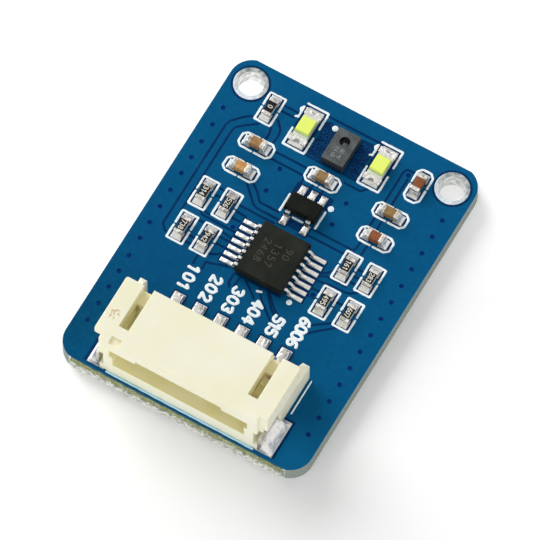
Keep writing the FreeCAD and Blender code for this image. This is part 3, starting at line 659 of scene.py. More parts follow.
# Ivory nylon: satin and slightly translucent, with a soft drift of tone. The outer side walls below
# 5.6 mm are painted paler, as painted light on the lower side walls.
nylon, add, place = start_finish("ivory_nylon")
cloud = add("MapRange", add("TexNoise", place, 1 / 4.0, 3.0), 0.35, 0.65, 0, 1)
fine = add("TexNoise", place, 1 / 0.1, 3.0)
flow = add("Mix", cloud, "#ECE9CB", "#EFEDD8", data_type="RGBA")
off_middle = add("Math", add("SeparateXYZ", place, out="X"), 0.1)
side_wall = add("MapRange", add("Math", off_middle, operation="ABSOLUTE"), 8.02, 8.07, 0.0, 0.9)
below_line = add("MapRange", add("SeparateXYZ", place, out="Z"), 5.58, 5.66, 1.0, 0.0)
# Painted light: the outer side walls below 5.6 mm are painted paler.
painted_ledge_light = add("Math", below_line, side_wall, operation="MULTIPLY")
flow = add("Mix", painted_ledge_light, flow, "#FFFDF2", data_type="RGBA")
to_scuff = add("VectorMath", place, (-7.47, -12.47, 7.4), operation="DISTANCE")
specks = add("MapRange", add("TexNoise", place, 1 / 0.22, 4.0), 0.52, 0.6, 0, 0.75)
scuffed = add("Math", add("MapRange", to_scuff, 0.45, 0.62, 1, 0), specks, operation="MULTIPLY")
flow = add("Mix", scuffed, flow, "#C0A070", data_type="RGBA")
rub, soft = worn_edges(add, 0.08, 0.75, 0.99)
NYLON_DEPTH = {
    "IOR": 1.53,
    "Subsurface Weight": 0.25,
    "Subsurface Radius": (1.0, 0.8, 0.35),
    "Subsurface Scale": 0.4 * MM,
}
coat(nylon, {
    "Base Color": add("Mix", add("MapRange", rub, 0, 1, 0, 0.6), flow, "#FBF8EA", data_type="RGBA"),
    "Roughness": add("MapRange", fine, 0.3, 0.7, 0.42, 0.6),
    "Normal": add("Bump", 1.0, 0.006 * MM, None, fine, soft),
    **NYLON_DEPTH,
})

# Ivory nylon, inside the mouth and slots: a shaded copy of the nylon, painted a deeper ivory as painted
# shade in the recesses and paler toward the top of the walls, with brown, pink and orange patches in
# the corners of the mouth and painted shade deep in the two slots.
shaded_inner_nylon, add, place = start_finish("ivory_nylon_recess")
cloud = add("MapRange", add("TexNoise", place, 1 / 1.5, 3.0), 0.35, 0.65, 0, 1)
fine = add("TexNoise", place, 1 / 0.1, 3.0)
recess_shade_tone = add("Mix", cloud, "#EFE8AE", "#F5EFC2", data_type="RGBA")
upward = add("MapRange", add("SeparateXYZ", place, out="Z"), 4.6, 7.4, 0, 1)
walls = add("Mix", upward, recess_shade_tone, "#F0E9C8", data_type="RGBA")
# The first and fourth entries are painted shade: a dark line in the right slot and an olive patch in the
# left slot. The others are brown and pink patches at the back of the right slot and orange patches on the
# floor of the mouth.
MOUTH_PATCHES_AND_SHADE = (
    ((5.44, -11.55, 5.84), (0.12, 1.0, 0.2), 0.95, "#35331C"),
    ((5.85, -10.42, 5.5), (0.34, 0.3, 0.6), 0.75, "#86623F"),
    ((5.6, -10.42, 5.5), (0.2, 0.3, 0.5), 0.7, "#E49A7C"),
    ((-6.5, -10.42, 5.45), (0.4, 0.35, 0.7), 0.55, "#8C7C34"),
    ((5.0, -11.9, 3.24), (0.5, 0.7, 0.3), 0.45, "#D79A68"),
    ((-6.6, -12.2, 3.24), (0.5, 0.9, 0.3), 0.4, "#D0A070"),
)
for at, size, amount, tint in MOUTH_PATCHES_AND_SHADE:
    near = add("Mapping", place, at, None, size, vector_type="TEXTURE")
    away = add("VectorMath", near, operation="LENGTH")
    walls = add("Mix", add("MapRange", away, 0.5, 1.0, amount, 0.0), walls, tint, data_type="RGBA")
coat(shaded_inner_nylon, {
    "Base Color": walls,
    "Roughness": add("MapRange", fine, 0.3, 0.7, 0.42, 0.6),
    "Normal": add("Bump", 1.0, 0.006 * MM, None, fine),
    **NYLON_DEPTH,
})
for face in dress("plug_housing", nylon, shaded_inner_nylon):
    middle = face.center / MM
    x = abs(middle.x + 0.1)
    in_mouth = x < 6.5 and -14.89 < middle.y < -9.1 and 1.7 < middle.z < 7.3
    in_groove = 5.5 < x < 6.5 and middle.y > -13.3 and middle.z < 7.3
    face.material_index = 1 if in_mouth or in_groove else 0

# Mould flash: four thin curls of nylon squeezed out where the mould's core closed, and left
# under the upper edge of the mouth. Each is 0.04 mm thick and hangs down 0.1 mm.
FLASH_SECTION = ((0.0, 0.0), (0.04, -1.0), (0.0, -1.15), (-0.03, -0.3))
FLASH_Y, FLASH_Z = -14.87, 6.21
verts, faces = [], []
for x, long, lean in ((-2.4, 0.34, 0.3), (-0.5, 0.3, -0.5), (1.7, 0.36, 0.4), (3.45, 0.3, -0.2)):
    start = len(verts)
    for step in range(7):
        t = step / 6
        drop = 0.1 * math.sin(math.pi * t) * (1 + 0.3 * lean)
        for depth, share in FLASH_SECTION:
            fall = drop * share
            verts.append((x + long * (t - 0.5) + lean * fall, FLASH_Y + depth, FLASH_Z + fall))
    stitch(faces, start, 6, 4)
show("mould_flash", verts, faces, nylon)

# Contacts and solder tabs: drawn square brass wire, bent, and brass strip stamped and bent to a
# plate with a foot. Both are plated with tin and pressed into the housing.

# Tin-plated brass: bright, a little warm where the tin is thin, with fine drawing lines along it.
brass, add, place = start_finish("tin_plated_brass")
drawn = add("TexNoise", add("Mapping", place, None, None, (14.0, 1.2, 14.0)), 1.0, 3.0)
stain = add("MapRange", add("TexNoise", place, 1 / 0.6, 3.0), 0.35, 0.7, 0, 1)
rub, soft = worn_edges(add, 0.05, 0.7, 0.98)
plate = add("Mix", stain, "#EEECE6", "#CFC9BC", data_type="RGBA")
coat(brass, {
    "Base Color": add("Mix", rub, plate, "#F0EDE4", data_type="RGBA"),
    "Roughness": add("MapRange", drawn, 0.3, 0.7, 0.22, 0.42),
    "Normal": add("Bump", 1.0, 0.004 * MM, None, drawn, soft),
    "Metallic": 1.0,
})
for k in range(1, 7):
    dress("contact_" + str(k), brass)
for side in ("left", "right"):
    dress("solder_tab_" + side, brass)

# Contact joints: solder paste printed on each land, melted in the oven and frozen as a smooth
# fillet that hugs the foot of its contact, with a ridge at one side and a blob at the toe.

# Tin-silver solder: bright, with a fine frosted grain, frozen crystal edges and flux stains.
solder, add, place = start_finish("tin_silver_solder")
frost = add("TexNoise", place, 1 / 0.05, 4.0)
lump = add("TexNoise", place, 1 / 0.4, 2.0)
crystals = add("MapRange", add("TexVoronoi", place, 9.0, feature="DISTANCE_TO_EDGE"), 0.0, 0.1, 0.0, 0.15)
stain = add("MapRange", add("TexNoise", place, 1 / 0.8, 3.0), 0.6, 0.8, 0, 0.5)
frosted = add("Mix", add("MapRange", frost, 0.3, 0.7, 0, 1), "#D6D5D0", "#F6F5F2", data_type="RGBA")
coat(solder, {
    "Base Color": add("Mix", stain, frosted, "#B9AE93", data_type="RGBA"),
    "Roughness": add("MapRange", frost, 0.3, 0.7, 0.24, 0.42),
    "Normal": add("Bump", 1.0, 0.012 * MM, None, add("Math", lump, crystals)),
    "Metallic": 1.0,
})
LAND_TOP = 1.64
RIM_DIP = -0.02
HALF_LAND = 0.49
JOINT_BACK, JOINT_FRONT = -8.1, -6.04
ROWS, COLUMNS = 46, 22
verts, faces = [], []
for x in PINS_X:
    start = len(verts)
    for i in range(ROWS + 1):
        y = JOINT_BACK + (JOINT_FRONT - JOINT_BACK) * i / ROWS
        for k in range(COLUMNS + 1):
            px = x - HALF_LAND + 2 * HALF_LAND * k / COLUMNS
            off = math.hypot(max(x - 0.35 - px, 0, px - x - 0.15), max(0, y + 6.3))
            hug = 0.44 * max(0.0, 1 - off / 0.17) ** 1.3
            crest = x + 0.33 + 0.03 * math.sin(9 * y + x)
            ridge = 0.27 * math.exp(-(((px - crest) / 0.1) ** 2))
            ridge *= min(1.0, max(0.0, -6.1 - y) / 0.16) ** 0.5
            nose = 0.34 * math.exp(-(((px - x + 0.1) / 0.24) ** 2) - ((y + 6.24) / 0.11) ** 2)
            rim = min(px - x + HALF_LAND, x + HALF_LAND - px, JOINT_FRONT - y)
            h = max(hug, ridge, nose) * (1 + 0.3 * noise.noise(Vector((px * 3, y * 3, x))))
            h += 0.05 * min(1.0, max(rim, 0) / 0.1) ** 0.5
            verts.append((px, y, LAND_TOP + (h if rim > 1e-6 else RIM_DIP)))
    stitch(faces, start, ROWS, COLUMNS + 1)
show("pin_solder", verts, faces, solder, ("contact_solder",))


# Joints at the chip parts and lamps: a small fillet of the same solder at each end, melted in
# the oven. It wets the land and climbs the plated end face of its part.
def meniscus(verts, faces, x_span, y_span, foot, high, reach, seed, step):
    (x0, x1), (y0, y1) = x_span, y_span
    fx0, fx1, fy0, fy1 = foot
    across = max(4, int((x1 - x0) / step))
    along = max(4, int((y1 - y0) / step))
    start = len(verts)
    for i in range(along + 1):
        for k in range(across + 1):
            x = x0 + (x1 - x0) * k / across
            y = y0 + (y1 - y0) * i / along
            away = math.hypot(max(fx0 - x, 0, x - fx1), max(fy0 - y, 0, y - fy1))
            rim = min(x - x0, x1 - x, y - y0, y1 - y)
            h = high * max(0.0, 1 - away / reach) ** 1.8 + 0.045 * min(1.0, rim / 0.12) ** 0.5
            h *= 1 + 0.25 * noise.noise(Vector((x * 2.3, y * 2.3, seed)))
            at_corner = min(x - x0, x1 - x) + min(y - y0, y1 - y) < 0.03
            inset = (0.05 if at_corner else 0.0) * (1 if x > (x0 + x1) / 2 else -1)
            verts.append((x - inset, y, LAND_TOP + (h if rim > 1e-6 else RIM_DIP)))
    stitch(faces, start, along, across + 1)


verts, faces = [], []
for x, y, angle in CAPACITORS + tuple((a, b, 90) for a, b in RESISTORS):
    high = 0.5 if (x, y, angle) in CAPACITORS else 0.3
    for side in (-1, 1):
        long, wide = (y, x) if angle else (x, y)
        span = sorted((long + side * 0.74, long + side * 1.2))
        body = sorted((long + side * 0.8, long))
        if angle:
            foot = (x - 0.33, x + 0.33, *body)
            meniscus(verts, faces, (x - 0.45, x + 0.45), span, foot, high, 0.4, wide + side, 0.05)
        else:
            foot = (*body, y - 0.33, y + 0.33)
            meniscus(verts, faces, span, (y - 0.45, y + 0.45), foot, high, 0.4, wide + side, 0.05)
LAMPS_Y = 11.9
for x in LAMPS_X:
    for side in (-1, 1):
        span = sorted((LAMPS_Y + side * 1.5, LAMPS_Y + side * 1.84))
        foot = (x - 0.6, x + 0.6, *sorted((LAMPS_Y + side * 1.6, LAMPS_Y)))
        meniscus(verts, faces, (x - 0.69, x + 0.69), span, foot, 0.2, 0.25, x, 0.06)
show("chip_part_solder", verts, faces, solder, ("small_part_solder",))

# Joints at the feet of the control chip and the regulator: low fillets of the same solder round
# each flat foot, thinned out toward the edges of its land.
CHIP_X, CHIP_Y, CHIP_PITCH = 0.03, 0.27, 0.65
REGULATOR_X, REGULATOR_Y = -0.04, 5.4
verts, faces = [], []
for k in range(7):
    y = CHIP_Y + CHIP_PITCH * (k - 3)
    for side in (-1, 1):
        span = sorted((CHIP_X + side * 2.55, CHIP_X + side * 3.83))
        foot = (*sorted((CHIP_X + side * 2.6, CHIP_X + side * 3.2)), y - 0.1, y + 0.1)
        meniscus(verts, faces, span, (y - 0.185, y + 0.185), foot, 0.1, 0.4, k * side, 0.045)
for row, side in (((-0.95, 0.0, 0.95), 1), ((-0.95, 0.95), -1)):
    for dx in row:
        x = REGULATOR_X + dx
        span = sorted((REGULATOR_Y + side * 1.05, REGULATOR_Y + side * 1.94))
        foot = (x - 0.18, x + 0.18, *sorted((REGULATOR_Y + side * 1.1, REGULATOR_Y + side * 1.7)))
        meniscus(verts, faces, (x - 0.28, x + 0.28), span, foot, 0.12, 0.3, dx, 0.045)
show("lead_solder", verts, faces, solder)

# Tab joints: a broad bright fillet of the same solder over each tab land. It climbs the plate
# highest at the front and dies away before the back of the land.
TAB_FRONT, TAB_LENGTH = -14.93, 3.3
ROWS, COLUMNS = 44, 22
for name, side in (("left", -1), ("right", 1)):
    verts, faces = [], []
    for i in range(ROWS + 1):
        y = TAB_FRONT + TAB_LENGTH * i / ROWS
        front = min(1.0, (y - TAB_FRONT) / 0.5) ** 0.6
        climb = 1.25 - 0.15 * min(1.0, max(0.0, (y + 14.84) / 2.79))
        if y > -12.1:
            climb *= max(0.0, 1 - (y + 12.1) / 0.47) ** 0.7
        for k in range(COLUMNS + 1):
            t = k / COLUMNS
            x = 7.58 + 1.0 * t
            body = 0.16 * math.sin(math.pi * min(1.0, t * 1.02)) ** 0.8
            h = climb * (1 - t) ** 1.1 * front + body * front
            broad = noise.noise(Vector((x * 1.9, y * 1.5, side)))
            h *= 1 + 0.22 * broad + 0.05 * noise.noise(Vector((x * 7, y * 6, side)))
            h *= min(1.0, (1 - t) / 0.1) ** 0.5
            inside = 0 < i < ROWS and k < COLUMNS
            verts.append((side * x - 0.1 * (1 - t), y, LAND_TOP + (h if inside else RIM_DIP)))
    stitch(faces, 0, ROWS, COLUMNS + 1)
    show("tab_joint_" + name, verts, faces, solder, ("tab_solder_" + name,))

# Light sensor body: filled epoxy moulded flat and sawn to size, with a round aperture over the
# die. Its plain numerals are burnt by a laser, and drawn as films 0.004 mm thick.

# Optical epoxy: dark grey and matt with paler filler specks; its sides are painted darker than its top, as
# painted shade.
resin, add, place = start_finish("grey_optical_epoxy")
fill = add("TexNoise", place, 1 / 0.12, 5.0)
patch = add("MapRange", add("TexNoise", place, 1 / 0.7, 3.0), 0.35, 0.65, 0, 1)
# Painted shade: faces turned away from straight up are painted darker.
facing_for_painted_shade = add("SeparateXYZ", add("NewGeometry", out="Normal"), out="Z")
top = add("Mix", patch, "#3D4142", "#54595A", data_type="RGBA")
tone = add("Mix", add("MapRange", facing_for_painted_shade, 0.3, 0.9, 0.0, 1.0), "#24292C", top, data_type="RGBA")
tone = add("Mix", add("MapRange", fill, 0.5, 0.75, 0, 0.5), tone, "#7C8282", data_type="RGBA")
rub, soft = worn_edges(add, 0.05, 0.75, 0.99)
coat(resin, {
    "Base Color": add("Mix", add("MapRange", rub, 0, 1, 0, 0.5), tone, "#80878A", data_type="RGBA"),
    "Roughness": add("MapRange", fill, 0.3, 0.7, 0.45, 0.65),
    "Normal": add("Bump", 1.0, 0.01 * MM, None, fill, soft),
    "IOR": 1.55,
    "Specular IOR Level": 0.2,
})
# Aperture wall: the epoxy painted near black and dead matt, as painted shade in the deep well.
WELL_SHADE_TONES = ("#030405", "#0C0E0F")
DULL_WALL = {"IOR": 1.5, "Specular IOR Level": 0.1}
well_shade = mottled_finish("black_aperture_wall", 0.1, 3.0, WELL_SHADE_TONES, (0, 1), (0.6, 0.8), 0.004, DULL_WALL)
WELL_X, WELL_Y, WELL_RADIUS, WELL_RIM = 0.03, 12.05, 0.46, 2.63
for face in dress("sensor_body", resin, well_shade):
    middle = face.center / MM
    in_well = math.hypot(middle.x - WELL_X, middle.y - WELL_Y) < WELL_RADIUS and middle.z < WELL_RIM
    face.material_index = 1 if in_well else 0
# Laser-marked resin: the beam chars the filler to a flat, paler grey.
BURN_TONES = ("#50575A", "#8E9492")
DULL_BURN = {"IOR": 1.55, "Specular IOR Level": 0.1}
marked = mottled_finish(
    "laser_marked_resin", 0.09, 3.0, BURN_TONES, (0.35, 0.6), (0.6, 0.8), 0.003, DULL_BURN
)
MARK_PROFILE = ((-0.5, 0.0), (-0.3, 0.004), (0.3, 0.004), (0.5, 0.0))
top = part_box("sensor_body")[1][2] / MM
verts, faces = [], []
for row, digits in enumerate(("28", "64")):
    layout = ((-0.42, 0.52, 0.55, 0), (10.98 - 0.56 * row, 0, 0, 0.4))
    write_digits(verts, faces, digits, layout, 0.07, top, MARK_PROFILE, 0.04, 0.01)
show("sensor_numerals", verts, faces, marked)

# Die: a square of silicon glued to the bottom of the well, etched with rows of light cells and
# sawn from its wafer. The metal between the cells is dark.

# Etched silicon: polished, with silvery cells and a faint violet from the thin oxide. The cells show only in
# a painted reflection near the middle of the die; round it the die is painted near black as shade in the
# well.
silicon, add, place = start_finish("etched_silicon")
cells = add("TexBrick", place, "#F4F4EE", "#B9BCC2", "#2B2D30", 5.0, 0.03, None, None, 0.4, 0.35, offset=0.0)
hue = add("TexNoise", place, 1 / 0.15, 2.0)
tinted = add("Mix", add("MapRange", hue, 0.4, 0.7, 0, 0.4), cells, "#5A5570", data_type="RGBA")
# Painted reflection: the cells show only within about 0.2 mm of this spot; beyond it the die is painted near
# black as shade.
reach = add("VectorMath", place, (0.03, 12.03, 2.09), operation="DISTANCE")
coat(silicon, {
    "Base Color": add("Mix", add("MapRange", reach, 0.15, 0.2, 0, 1), tinted, "#0A0B0D", data_type="RGBA"),
    "Roughness": add("MapRange", hue, 0.3, 0.7, 0.15, 0.3),
    "Normal": add("Bump", 1.0, 0.002 * MM, None, cells.node.outputs["Fac"]),
    "IOR": 1.9,
})
dress("sensor_die", silicon)

# Window: clear epoxy poured into the aperture over the die and cured nearly flat. It seals the
# die in its well.

# Clear epoxy: almost unseen, a glossy dark film that picks up one soft reflection.
FILM_TONES = ("#0A0C0E", "#1A1D20")
FILM = {"IOR": 1.54, "Alpha": 0.12}
clear = mottled_finish("clear_epoxy", 0.3, 2.0, FILM_TONES, (0, 1), (0.06, 0.14), 0.002, FILM)
dress("sensor_window", clear)

# White lamps: a white laminate carrier with plated end terminals, and a block of silicone loaded
# with phosphor powder moulded over the light chip. The ends are soldered to the board.

# Phosphor silicone: soft yellow-green and translucent, greener low down where it is thin.
phosphor, add, place = start_finish("phosphor_silicone")
grain = add("TexNoise", place, 1 / 0.06, 3.0)
height = add("MapRange", add("SeparateXYZ", place, out="Z"), 2.06, 2.26, 0.0, 1.0)
powder = add("Mix", add("MapRange", grain, 0.3, 0.7, 0, 1), "#E3F25C", "#EDFB86", data_type="RGBA")
coat(phosphor, {
    "Base Color": add("Mix", height, "#A4DE86", powder, data_type="RGBA"),
    "Roughness": add("MapRange", grain, 0.3, 0.7, 0.3, 0.5),
    "Normal": add("Bump", 1.0, 0.004 * MM, None, grain, add("Bevel", 0.09 * MM, samples=6)),
    "IOR": 1.45,
    "Subsurface Weight": 0.3,
    "Subsurface Radius": (0.8, 0.9, 0.2),
    "Subsurface Scale": 0.3 * MM,
})
# White laminate of the lamp carrier: chalky, a little grey-green where the cloth shows through.
CARRIER_TONES = ("#C9CBBE", "#EDEEE6")
LAMINATE = {"IOR": 1.5}
carrier = mottled_finish(
    "white_lamp_laminate", 0.08, 3.0, CARRIER_TONES, (0.3, 0.7), (0.5, 0.7), 0.008, LAMINATE, softened=0.04
)
# Plated terminal metal: bright tin, crumpled where the solder drew back from it.
plated, add, place = start_finish("plated_terminal")
crumple = add("TexNoise", place, 1 / 0.28, 3.0)
folds = add("MapRange", crumple, 0.35, 0.65, 0, 1)
coat(plated, {
    "Base Color": add("Mix", folds, "#D2CEC8", "#FCFBF8", data_type="RGBA"),
    "Roughness": add("MapRange", add("TexNoise", place, 1 / 0.06, 3.0), 0.3, 0.7, 0.22, 0.45),
    "Normal": add("Bump", 1.0, 0.035 * MM, None, crumple, add("Bevel", 0.04 * MM, samples=6)),
    "Metallic": 1.0,
})
for side in ("left", "right"):
    dress("lamp_block_" + side, phosphor)
    dress("lamp_carrier_" + side, carrier)
    dress("lamp_terminals_" + side, plated)

# Regulator and control chip: black mineral-filled epoxy moulded round a lead frame of tinned
# copper, whose legs are bent down and out to flat feet. The chip is laser marked in plain numbers.

# Moulded epoxy: near black, with dusty specks of filler and edges rubbed grey. The chip's rougher
# mould leaves it greyer, the regulator's polished one blacker.
MOULDINGS = (
    ("chip_body", "matt_moulded_epoxy", "#1B1D19", "#282A25", "#40423C"),
    ("regulator_body", "glossy_moulded_epoxy", "#0D0F0C", "#191B16", "#2E302B"),
)
for node, name, dark, light, dust in MOULDINGS:
    epoxy, add, place = start_finish(name)
    grain = add("TexNoise", place, 1 / 0.06, 4.0)
    patch = add("MapRange", add("TexNoise", place, 1 / 1.6, 3.0), 0.35, 0.65, 0, 1)
    tone = add("Mix", patch, dark, light, data_type="RGBA")
    tone = add("Mix", add("MapRange", grain, 0.55, 0.8, 0, 0.5), tone, dust, data_type="RGBA")
    rub, soft = worn_edges(add, 0.05, 0.75, 0.99)
    coat(epoxy, {
        "Base Color": add("Mix", add("MapRange", rub, 0, 1, 0, 0.5), tone, "#4B4C46", data_type="RGBA"),
        "Roughness": add("MapRange", grain, 0.3, 0.7, 0.48, 0.66),
        "Normal": add("Bump", 1.0, 0.004 * MM, None, grain, soft),
        "IOR": 1.6,
        "Specular IOR Level": 0.05,
    })
    dress(node, epoxy)
# Laser-marked epoxy: a brownish grey burn, only a little paler than the black round it.
CHAR_TONES = ("#2A2B26", "#56554A")
CHARRED = {"IOR": 1.6, "Specular IOR Level": 0.05}
burnt = mottled_finish(
    "laser_marked_epoxy", 0.08, 3.0, CHAR_TONES, (0.35, 0.6), (0.6, 0.8), 0.003, CHARRED
)
low, high = (Vector(v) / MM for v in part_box("chip_body"))
middle = (low + high) / 2
verts, faces = [], []
for row, digits in enumerate(("2468", "1357", "90")):
    layout = ((middle.x - 1.3 + row, 0, 0, 0.6), (middle.y + 1.1, -0.6, -0.6, 0))
    write_digits(verts, faces, digits, layout, 0.08, high.z, MARK_PROFILE, 0.05, 0.01)
show("chip_numerals", verts, faces, burnt)
# Tinned copper of the leads: bright and smooth, with a soft grain from the plating.
LEAD_TONES = ("#D9D8D2", "#F7F6F3")
lead = mottled_finish(
    "tinned_copper_lead", 0.09, 3.0, LEAD_TONES, (0.3, 0.7), (0.16, 0.36), 0.01, METAL, softened=0.03
)
dress("chip_leads", lead)
dress("regulator_leads", lead)

# Chip capacitors: stacked ceramic and metal layers fired to one block, with the ends dipped in
# silver paste and plated with tin. The oven leaves each ceramic its own brown.
BODY_TONES = (
    ("#8F6A42", "#A98254"), ("#B98446", "#CFA066"), ("#80653F", "#98794F"),
    ("#7E6238", "#96794C"), ("#7A4423", "#94562B"), ("#76401D", "#8F5229"),
)
# Fired ceramic: a satin brown, slightly mottled, paler where its edges were tumbled.
for k, (dark, light) in enumerate(BODY_TONES):
    ceramic, add, place = start_finish("fired_ceramic_" + str(k + 1))
    grain = add("TexNoise", place, 1 / 0.05, 4.0)
    patch = add("MapRange", add("TexNoise", place, 1 / 0.4, 2.0), 0.3, 0.7, 0, 1)
    tone = add("Mix", patch, dark, light, data_type="RGBA")
    rub, soft = worn_edges(add, 0.04, 0.7, 0.99)
    coat(ceramic, {
        "Base Color": add("Mix", add("MapRange", rub, 0, 1, 0, 0.4), tone, "#C9A883", data_type="RGBA"),
        "Roughness": add("MapRange", grain, 0.3, 0.7, 0.35, 0.55),
        "Normal": add("Bump", 1.0, 0.006 * MM, None, grain, soft),
        "IOR": 1.8,
        "Specular IOR Level": 0.15,
    })
    dress("capacitor_" + str(k + 1) + "_body", ceramic)
# Tin-plated silver of the ends: crumpled metal, bright on its lumps and dull in its hollows.
ends, add, place = start_finish("tin_plated_silver_end")
crumple = add("TexNoise", place, 1 / 0.35, 3.0)
folds = add("MapRange", crumple, 0.35, 0.65, 0, 1)
coat(ends, {
    "Base Color": add("Mix", folds, "#98948A", "#EFEDE6", data_type="RGBA"),
    "Roughness": add("MapRange", add("TexNoise", place, 1 / 0.09, 4.0), 0.3, 0.7, 0.28, 0.5),
    "Normal": add("Bump", 1.0, 0.03 * MM, None, crumple, add("Bevel", 0.07 * MM, samples=6)),
    "Metallic": 1.0,
})
for k in range(1, 7):
    dress("capacitor_" + str(k) + "_ends", ends)

# Chip resistors: white alumina blocks with a resistive film under black glass on top, and plated
# ends. Plain numerals are printed on the glass in pale ink.

# White alumina: a dull white ceramic that shows only along the sides.
ALUMINA_TONES = ("#B9B8B2", "#D9D8D2")
ALUMINA = {"IOR": 1.76}
alumina = mottled_finish(
    "white_alumina", 0.05, 3.0, ALUMINA_TONES, (0.3, 0.7), (0.5, 0.7), 0.004, ALUMINA, softened=0.03
)
# Black glass: a satin, nearly even black, a little brown at its rubbed edges.
glass, add, place = start_finish("black_glass_coat")
grain = add("TexNoise", place, 1 / 0.1, 3.0)
tone = add("Mix", add("MapRange", grain, 0.3, 0.7, 0, 1), "#0F0E0B", "#1B1915", data_type="RGBA")
rub, soft = worn_edges(add, 0.03, 0.6, 0.99)
coat(glass, {
    "Base Color": add("Mix", add("MapRange", rub, 0, 1, 0, 0.5), tone, "#4A463F", data_type="RGBA"),
    "Roughness": add("MapRange", grain, 0.3, 0.7, 0.28, 0.45),
    "Normal": add("Bump", 1.0, 0.004 * MM, None, grain, soft),
    "IOR": 1.55,
    "Specular IOR Level": 0.15,
})
for k in range(1, 10):
    for face in dress("resistor_" + str(k) + "_body", alumina, glass):
        face.material_index = 1 if face.normal.z > 0.9 else 0
    dress("resistor_" + str(k) + "_ends", ends)
# Pale marking ink: thin and chalky, broken up where the glass shows through.
INK_TONES = ("#B5B3AA", "#EFEDE4")
THIN_INK = {"IOR": 1.5}
numeral = mottled_finish(
    "pale_marking_ink", 0.05, 3.0, INK_TONES, (0.3, 0.6), (0.5, 0.7), 0.003, THIN_INK
)
RESISTOR_TOP = LAND_TOP + 0.42
NUMERAL_PROFILE = ((-0.5, 0.0), (-0.3, 0.006), (0.3, 0.006), (0.5, 0.0))
NUMERALS = ("0", "314", "526", "738", "942", "161", "283", "495", "607")
verts, faces = [], []
for (x, y), digits in zip(RESISTORS, NUMERALS):
    layout = ((x - 0.22, 0, 0, 0.42), (y + 0.15 * (len(digits) - 1) + 0.13, -0.3, -0.36, 0))
    write_digits(verts, faces, digits, layout, 0.07, RESISTOR_TOP, NUMERAL_PROFILE, 0.04, 0.004)
show("resistor_numerals", verts, faces, numeral)

# Table: a seamless sheet of white card under the board. It keeps the board's soft shadow, and
# glows a little where the photo's paper shows bright through the holes and behind the board.

# White card: plain matt paper, evenly white, with a painted glow under the two holes and toward the back
# left, seen only by the camera, in reflections and through clear parts.
card, add, place = start_finish("white_card")
low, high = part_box("hole_plating_right")
hole_x, hole_y = (low[0] + high[0]) / 2 / MM, (low[1] + high[1]) / 2 / MM
across = add("SeparateXYZ", place, out="X")
mirrored = add("Math", across, operation="ABSOLUTE")
spot = add("CombineXYZ", mirrored, add("SeparateXYZ", place, out="Y"))
from_hole = add("VectorMath", spot, (hole_x, hole_y, 0), operation="DISTANCE")
through = add("MapRange", across, -5.0, 5.0, 0.6, 0.36)
under = add("Math", add("MapRange", from_hole, 1.2, 1.9, 1.0, 0.0), through, operation="MULTIPLY")
behind = add("VectorMath", place, (-0.7, 0.7, 0), operation="DOT_PRODUCT")
# Painted light: the card glows under the holes and toward the back left.
painted_glow = add("Math", under, add("MapRange", behind, -7.0, 3.0, 0.0, 0.2), operation="MAXIMUM")
camera_ray = add("LightPath", out="Is Camera Ray")
direct = add("Math", camera_ray, add("LightPath", out="Is Glossy Ray"), operation="MAXIMUM")
shown = add("Math", direct, add("LightPath", out="Is Transmission Ray"), operation="MAXIMUM")
coat(card, {
    "Base Color": add("Mix", add("TexNoise", place, 1 / 60.0, 1.0), "#FFFFFF", "#FDFDFD", data_type="RGBA"),
    "Roughness": 0.9,
    "IOR": 1.45,
    "Specular IOR Level": 0.0,
    "Emission Color": "#FFFFFF",
    "Emission Strength": add("Math", painted_glow, shown, operation="MULTIPLY"),
})
mesh = bpy.data.meshes.new("table_card")
corners = ((-3, -3), (3, -3), (3, 3), (-3, 3))
mesh.from_pydata([(x, y, -0.02 * MM) for x, y in corners], [], [(0, 1, 2, 3)])
mesh.materials.append(card)
table = bpy.data.objects.new("table_card", mesh)
bpy.context.scene.collection.objects.link(table)

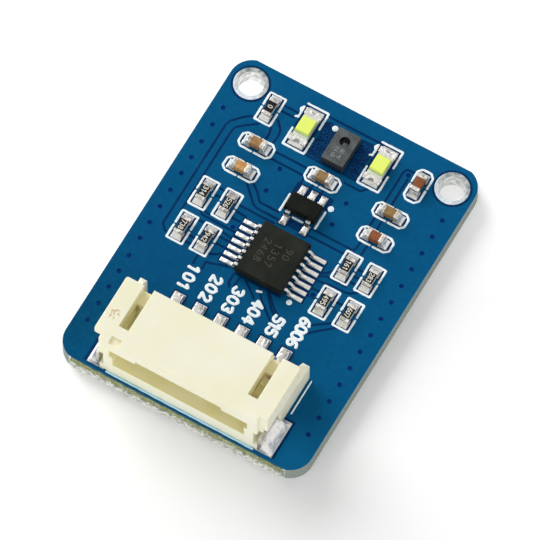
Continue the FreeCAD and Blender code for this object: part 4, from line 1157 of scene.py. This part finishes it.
# Light: a tent of white cloth round the table, lit most from the front right, with one broad lamp
# at the back left. Shiny parts see it a little darker overhead, and the camera sees plain white.
world = bpy.data.worlds.new("white_tent")
bpy.context.scene.world = world
world.use_nodes = True
add = partial(add_node, world.node_tree)
way = add("TexCoord", out="Generated")
overhead = add("MapRange", add("SeparateXYZ", way, out="Z"), 0.35, 0.85, 1.0, 0.72)
toward = add("VectorMath", way, (0.42, -0.85, -0.25), operation="DOT_PRODUCT")
even = add("Background", "#FFFFFF", add("MapRange", toward, -0.2, 0.95, 0.42, 1.6))
shine = add("Background", overhead, 1.0)
soft_tent = add("MixShader", add("LightPath", out="Is Glossy Ray"), even, shine)
camera_ray = add("LightPath", out="Is Camera Ray")
seen = add("Math", camera_ray, add("LightPath", out="Is Transmission Ray"), operation="MAXIMUM")
tent = add("MixShader", seen, soft_tent, add("Background", "#FFFFFF", 1.0))
feed(world.node_tree.nodes["World Output"].inputs["Surface"], tent)
lamp = bpy.data.lights.new("back_left_lamp", "SUN")
lamp.energy = 2.45
lamp.angle = math.radians(42)
holder = bpy.data.objects.new("back_left_lamp", lamp)
holder.rotation_mode = "QUATERNION"
holder.rotation_quaternion = Vector((-0.84, 0.38, 0.52)).to_track_quat("Z", "Y")
bpy.context.scene.collection.objects.link(holder)

# Camera: the long lens of the product photo, 0.8 m away, high on the front right. Its angles and
# place were fitted to points of the board that can be seen in the photo.
azimuth, elevation, roll = (math.radians(v) for v in (29.697, 65.601, 0.265))
level = math.cos(elevation)
back = Vector((math.sin(azimuth) * level, -math.cos(azimuth) * level, math.sin(elevation)))
right = Vector((math.cos(azimuth), math.sin(azimuth), 0))
up = back.cross(right)
tilted_right = math.cos(roll) * right + math.sin(roll) * up
tilted_up = -math.sin(roll) * right + math.cos(roll) * up
camera = bpy.data.objects.new("camera", bpy.data.cameras.new("camera"))
camera.data.lens = 666.667
camera.data.sensor_width = 36
camera.data.clip_start, camera.data.clip_end = 0.05, 20
camera.matrix_world = Matrix((tilted_right, tilted_up, back)).transposed().to_4x4()
camera.location = Vector((166.835, -292.689, 742.992)) * MM
bpy.context.scene.collection.objects.link(camera)
bpy.context.scene.camera = camera
bpy.context.scene.view_settings.view_transform = "Standard"
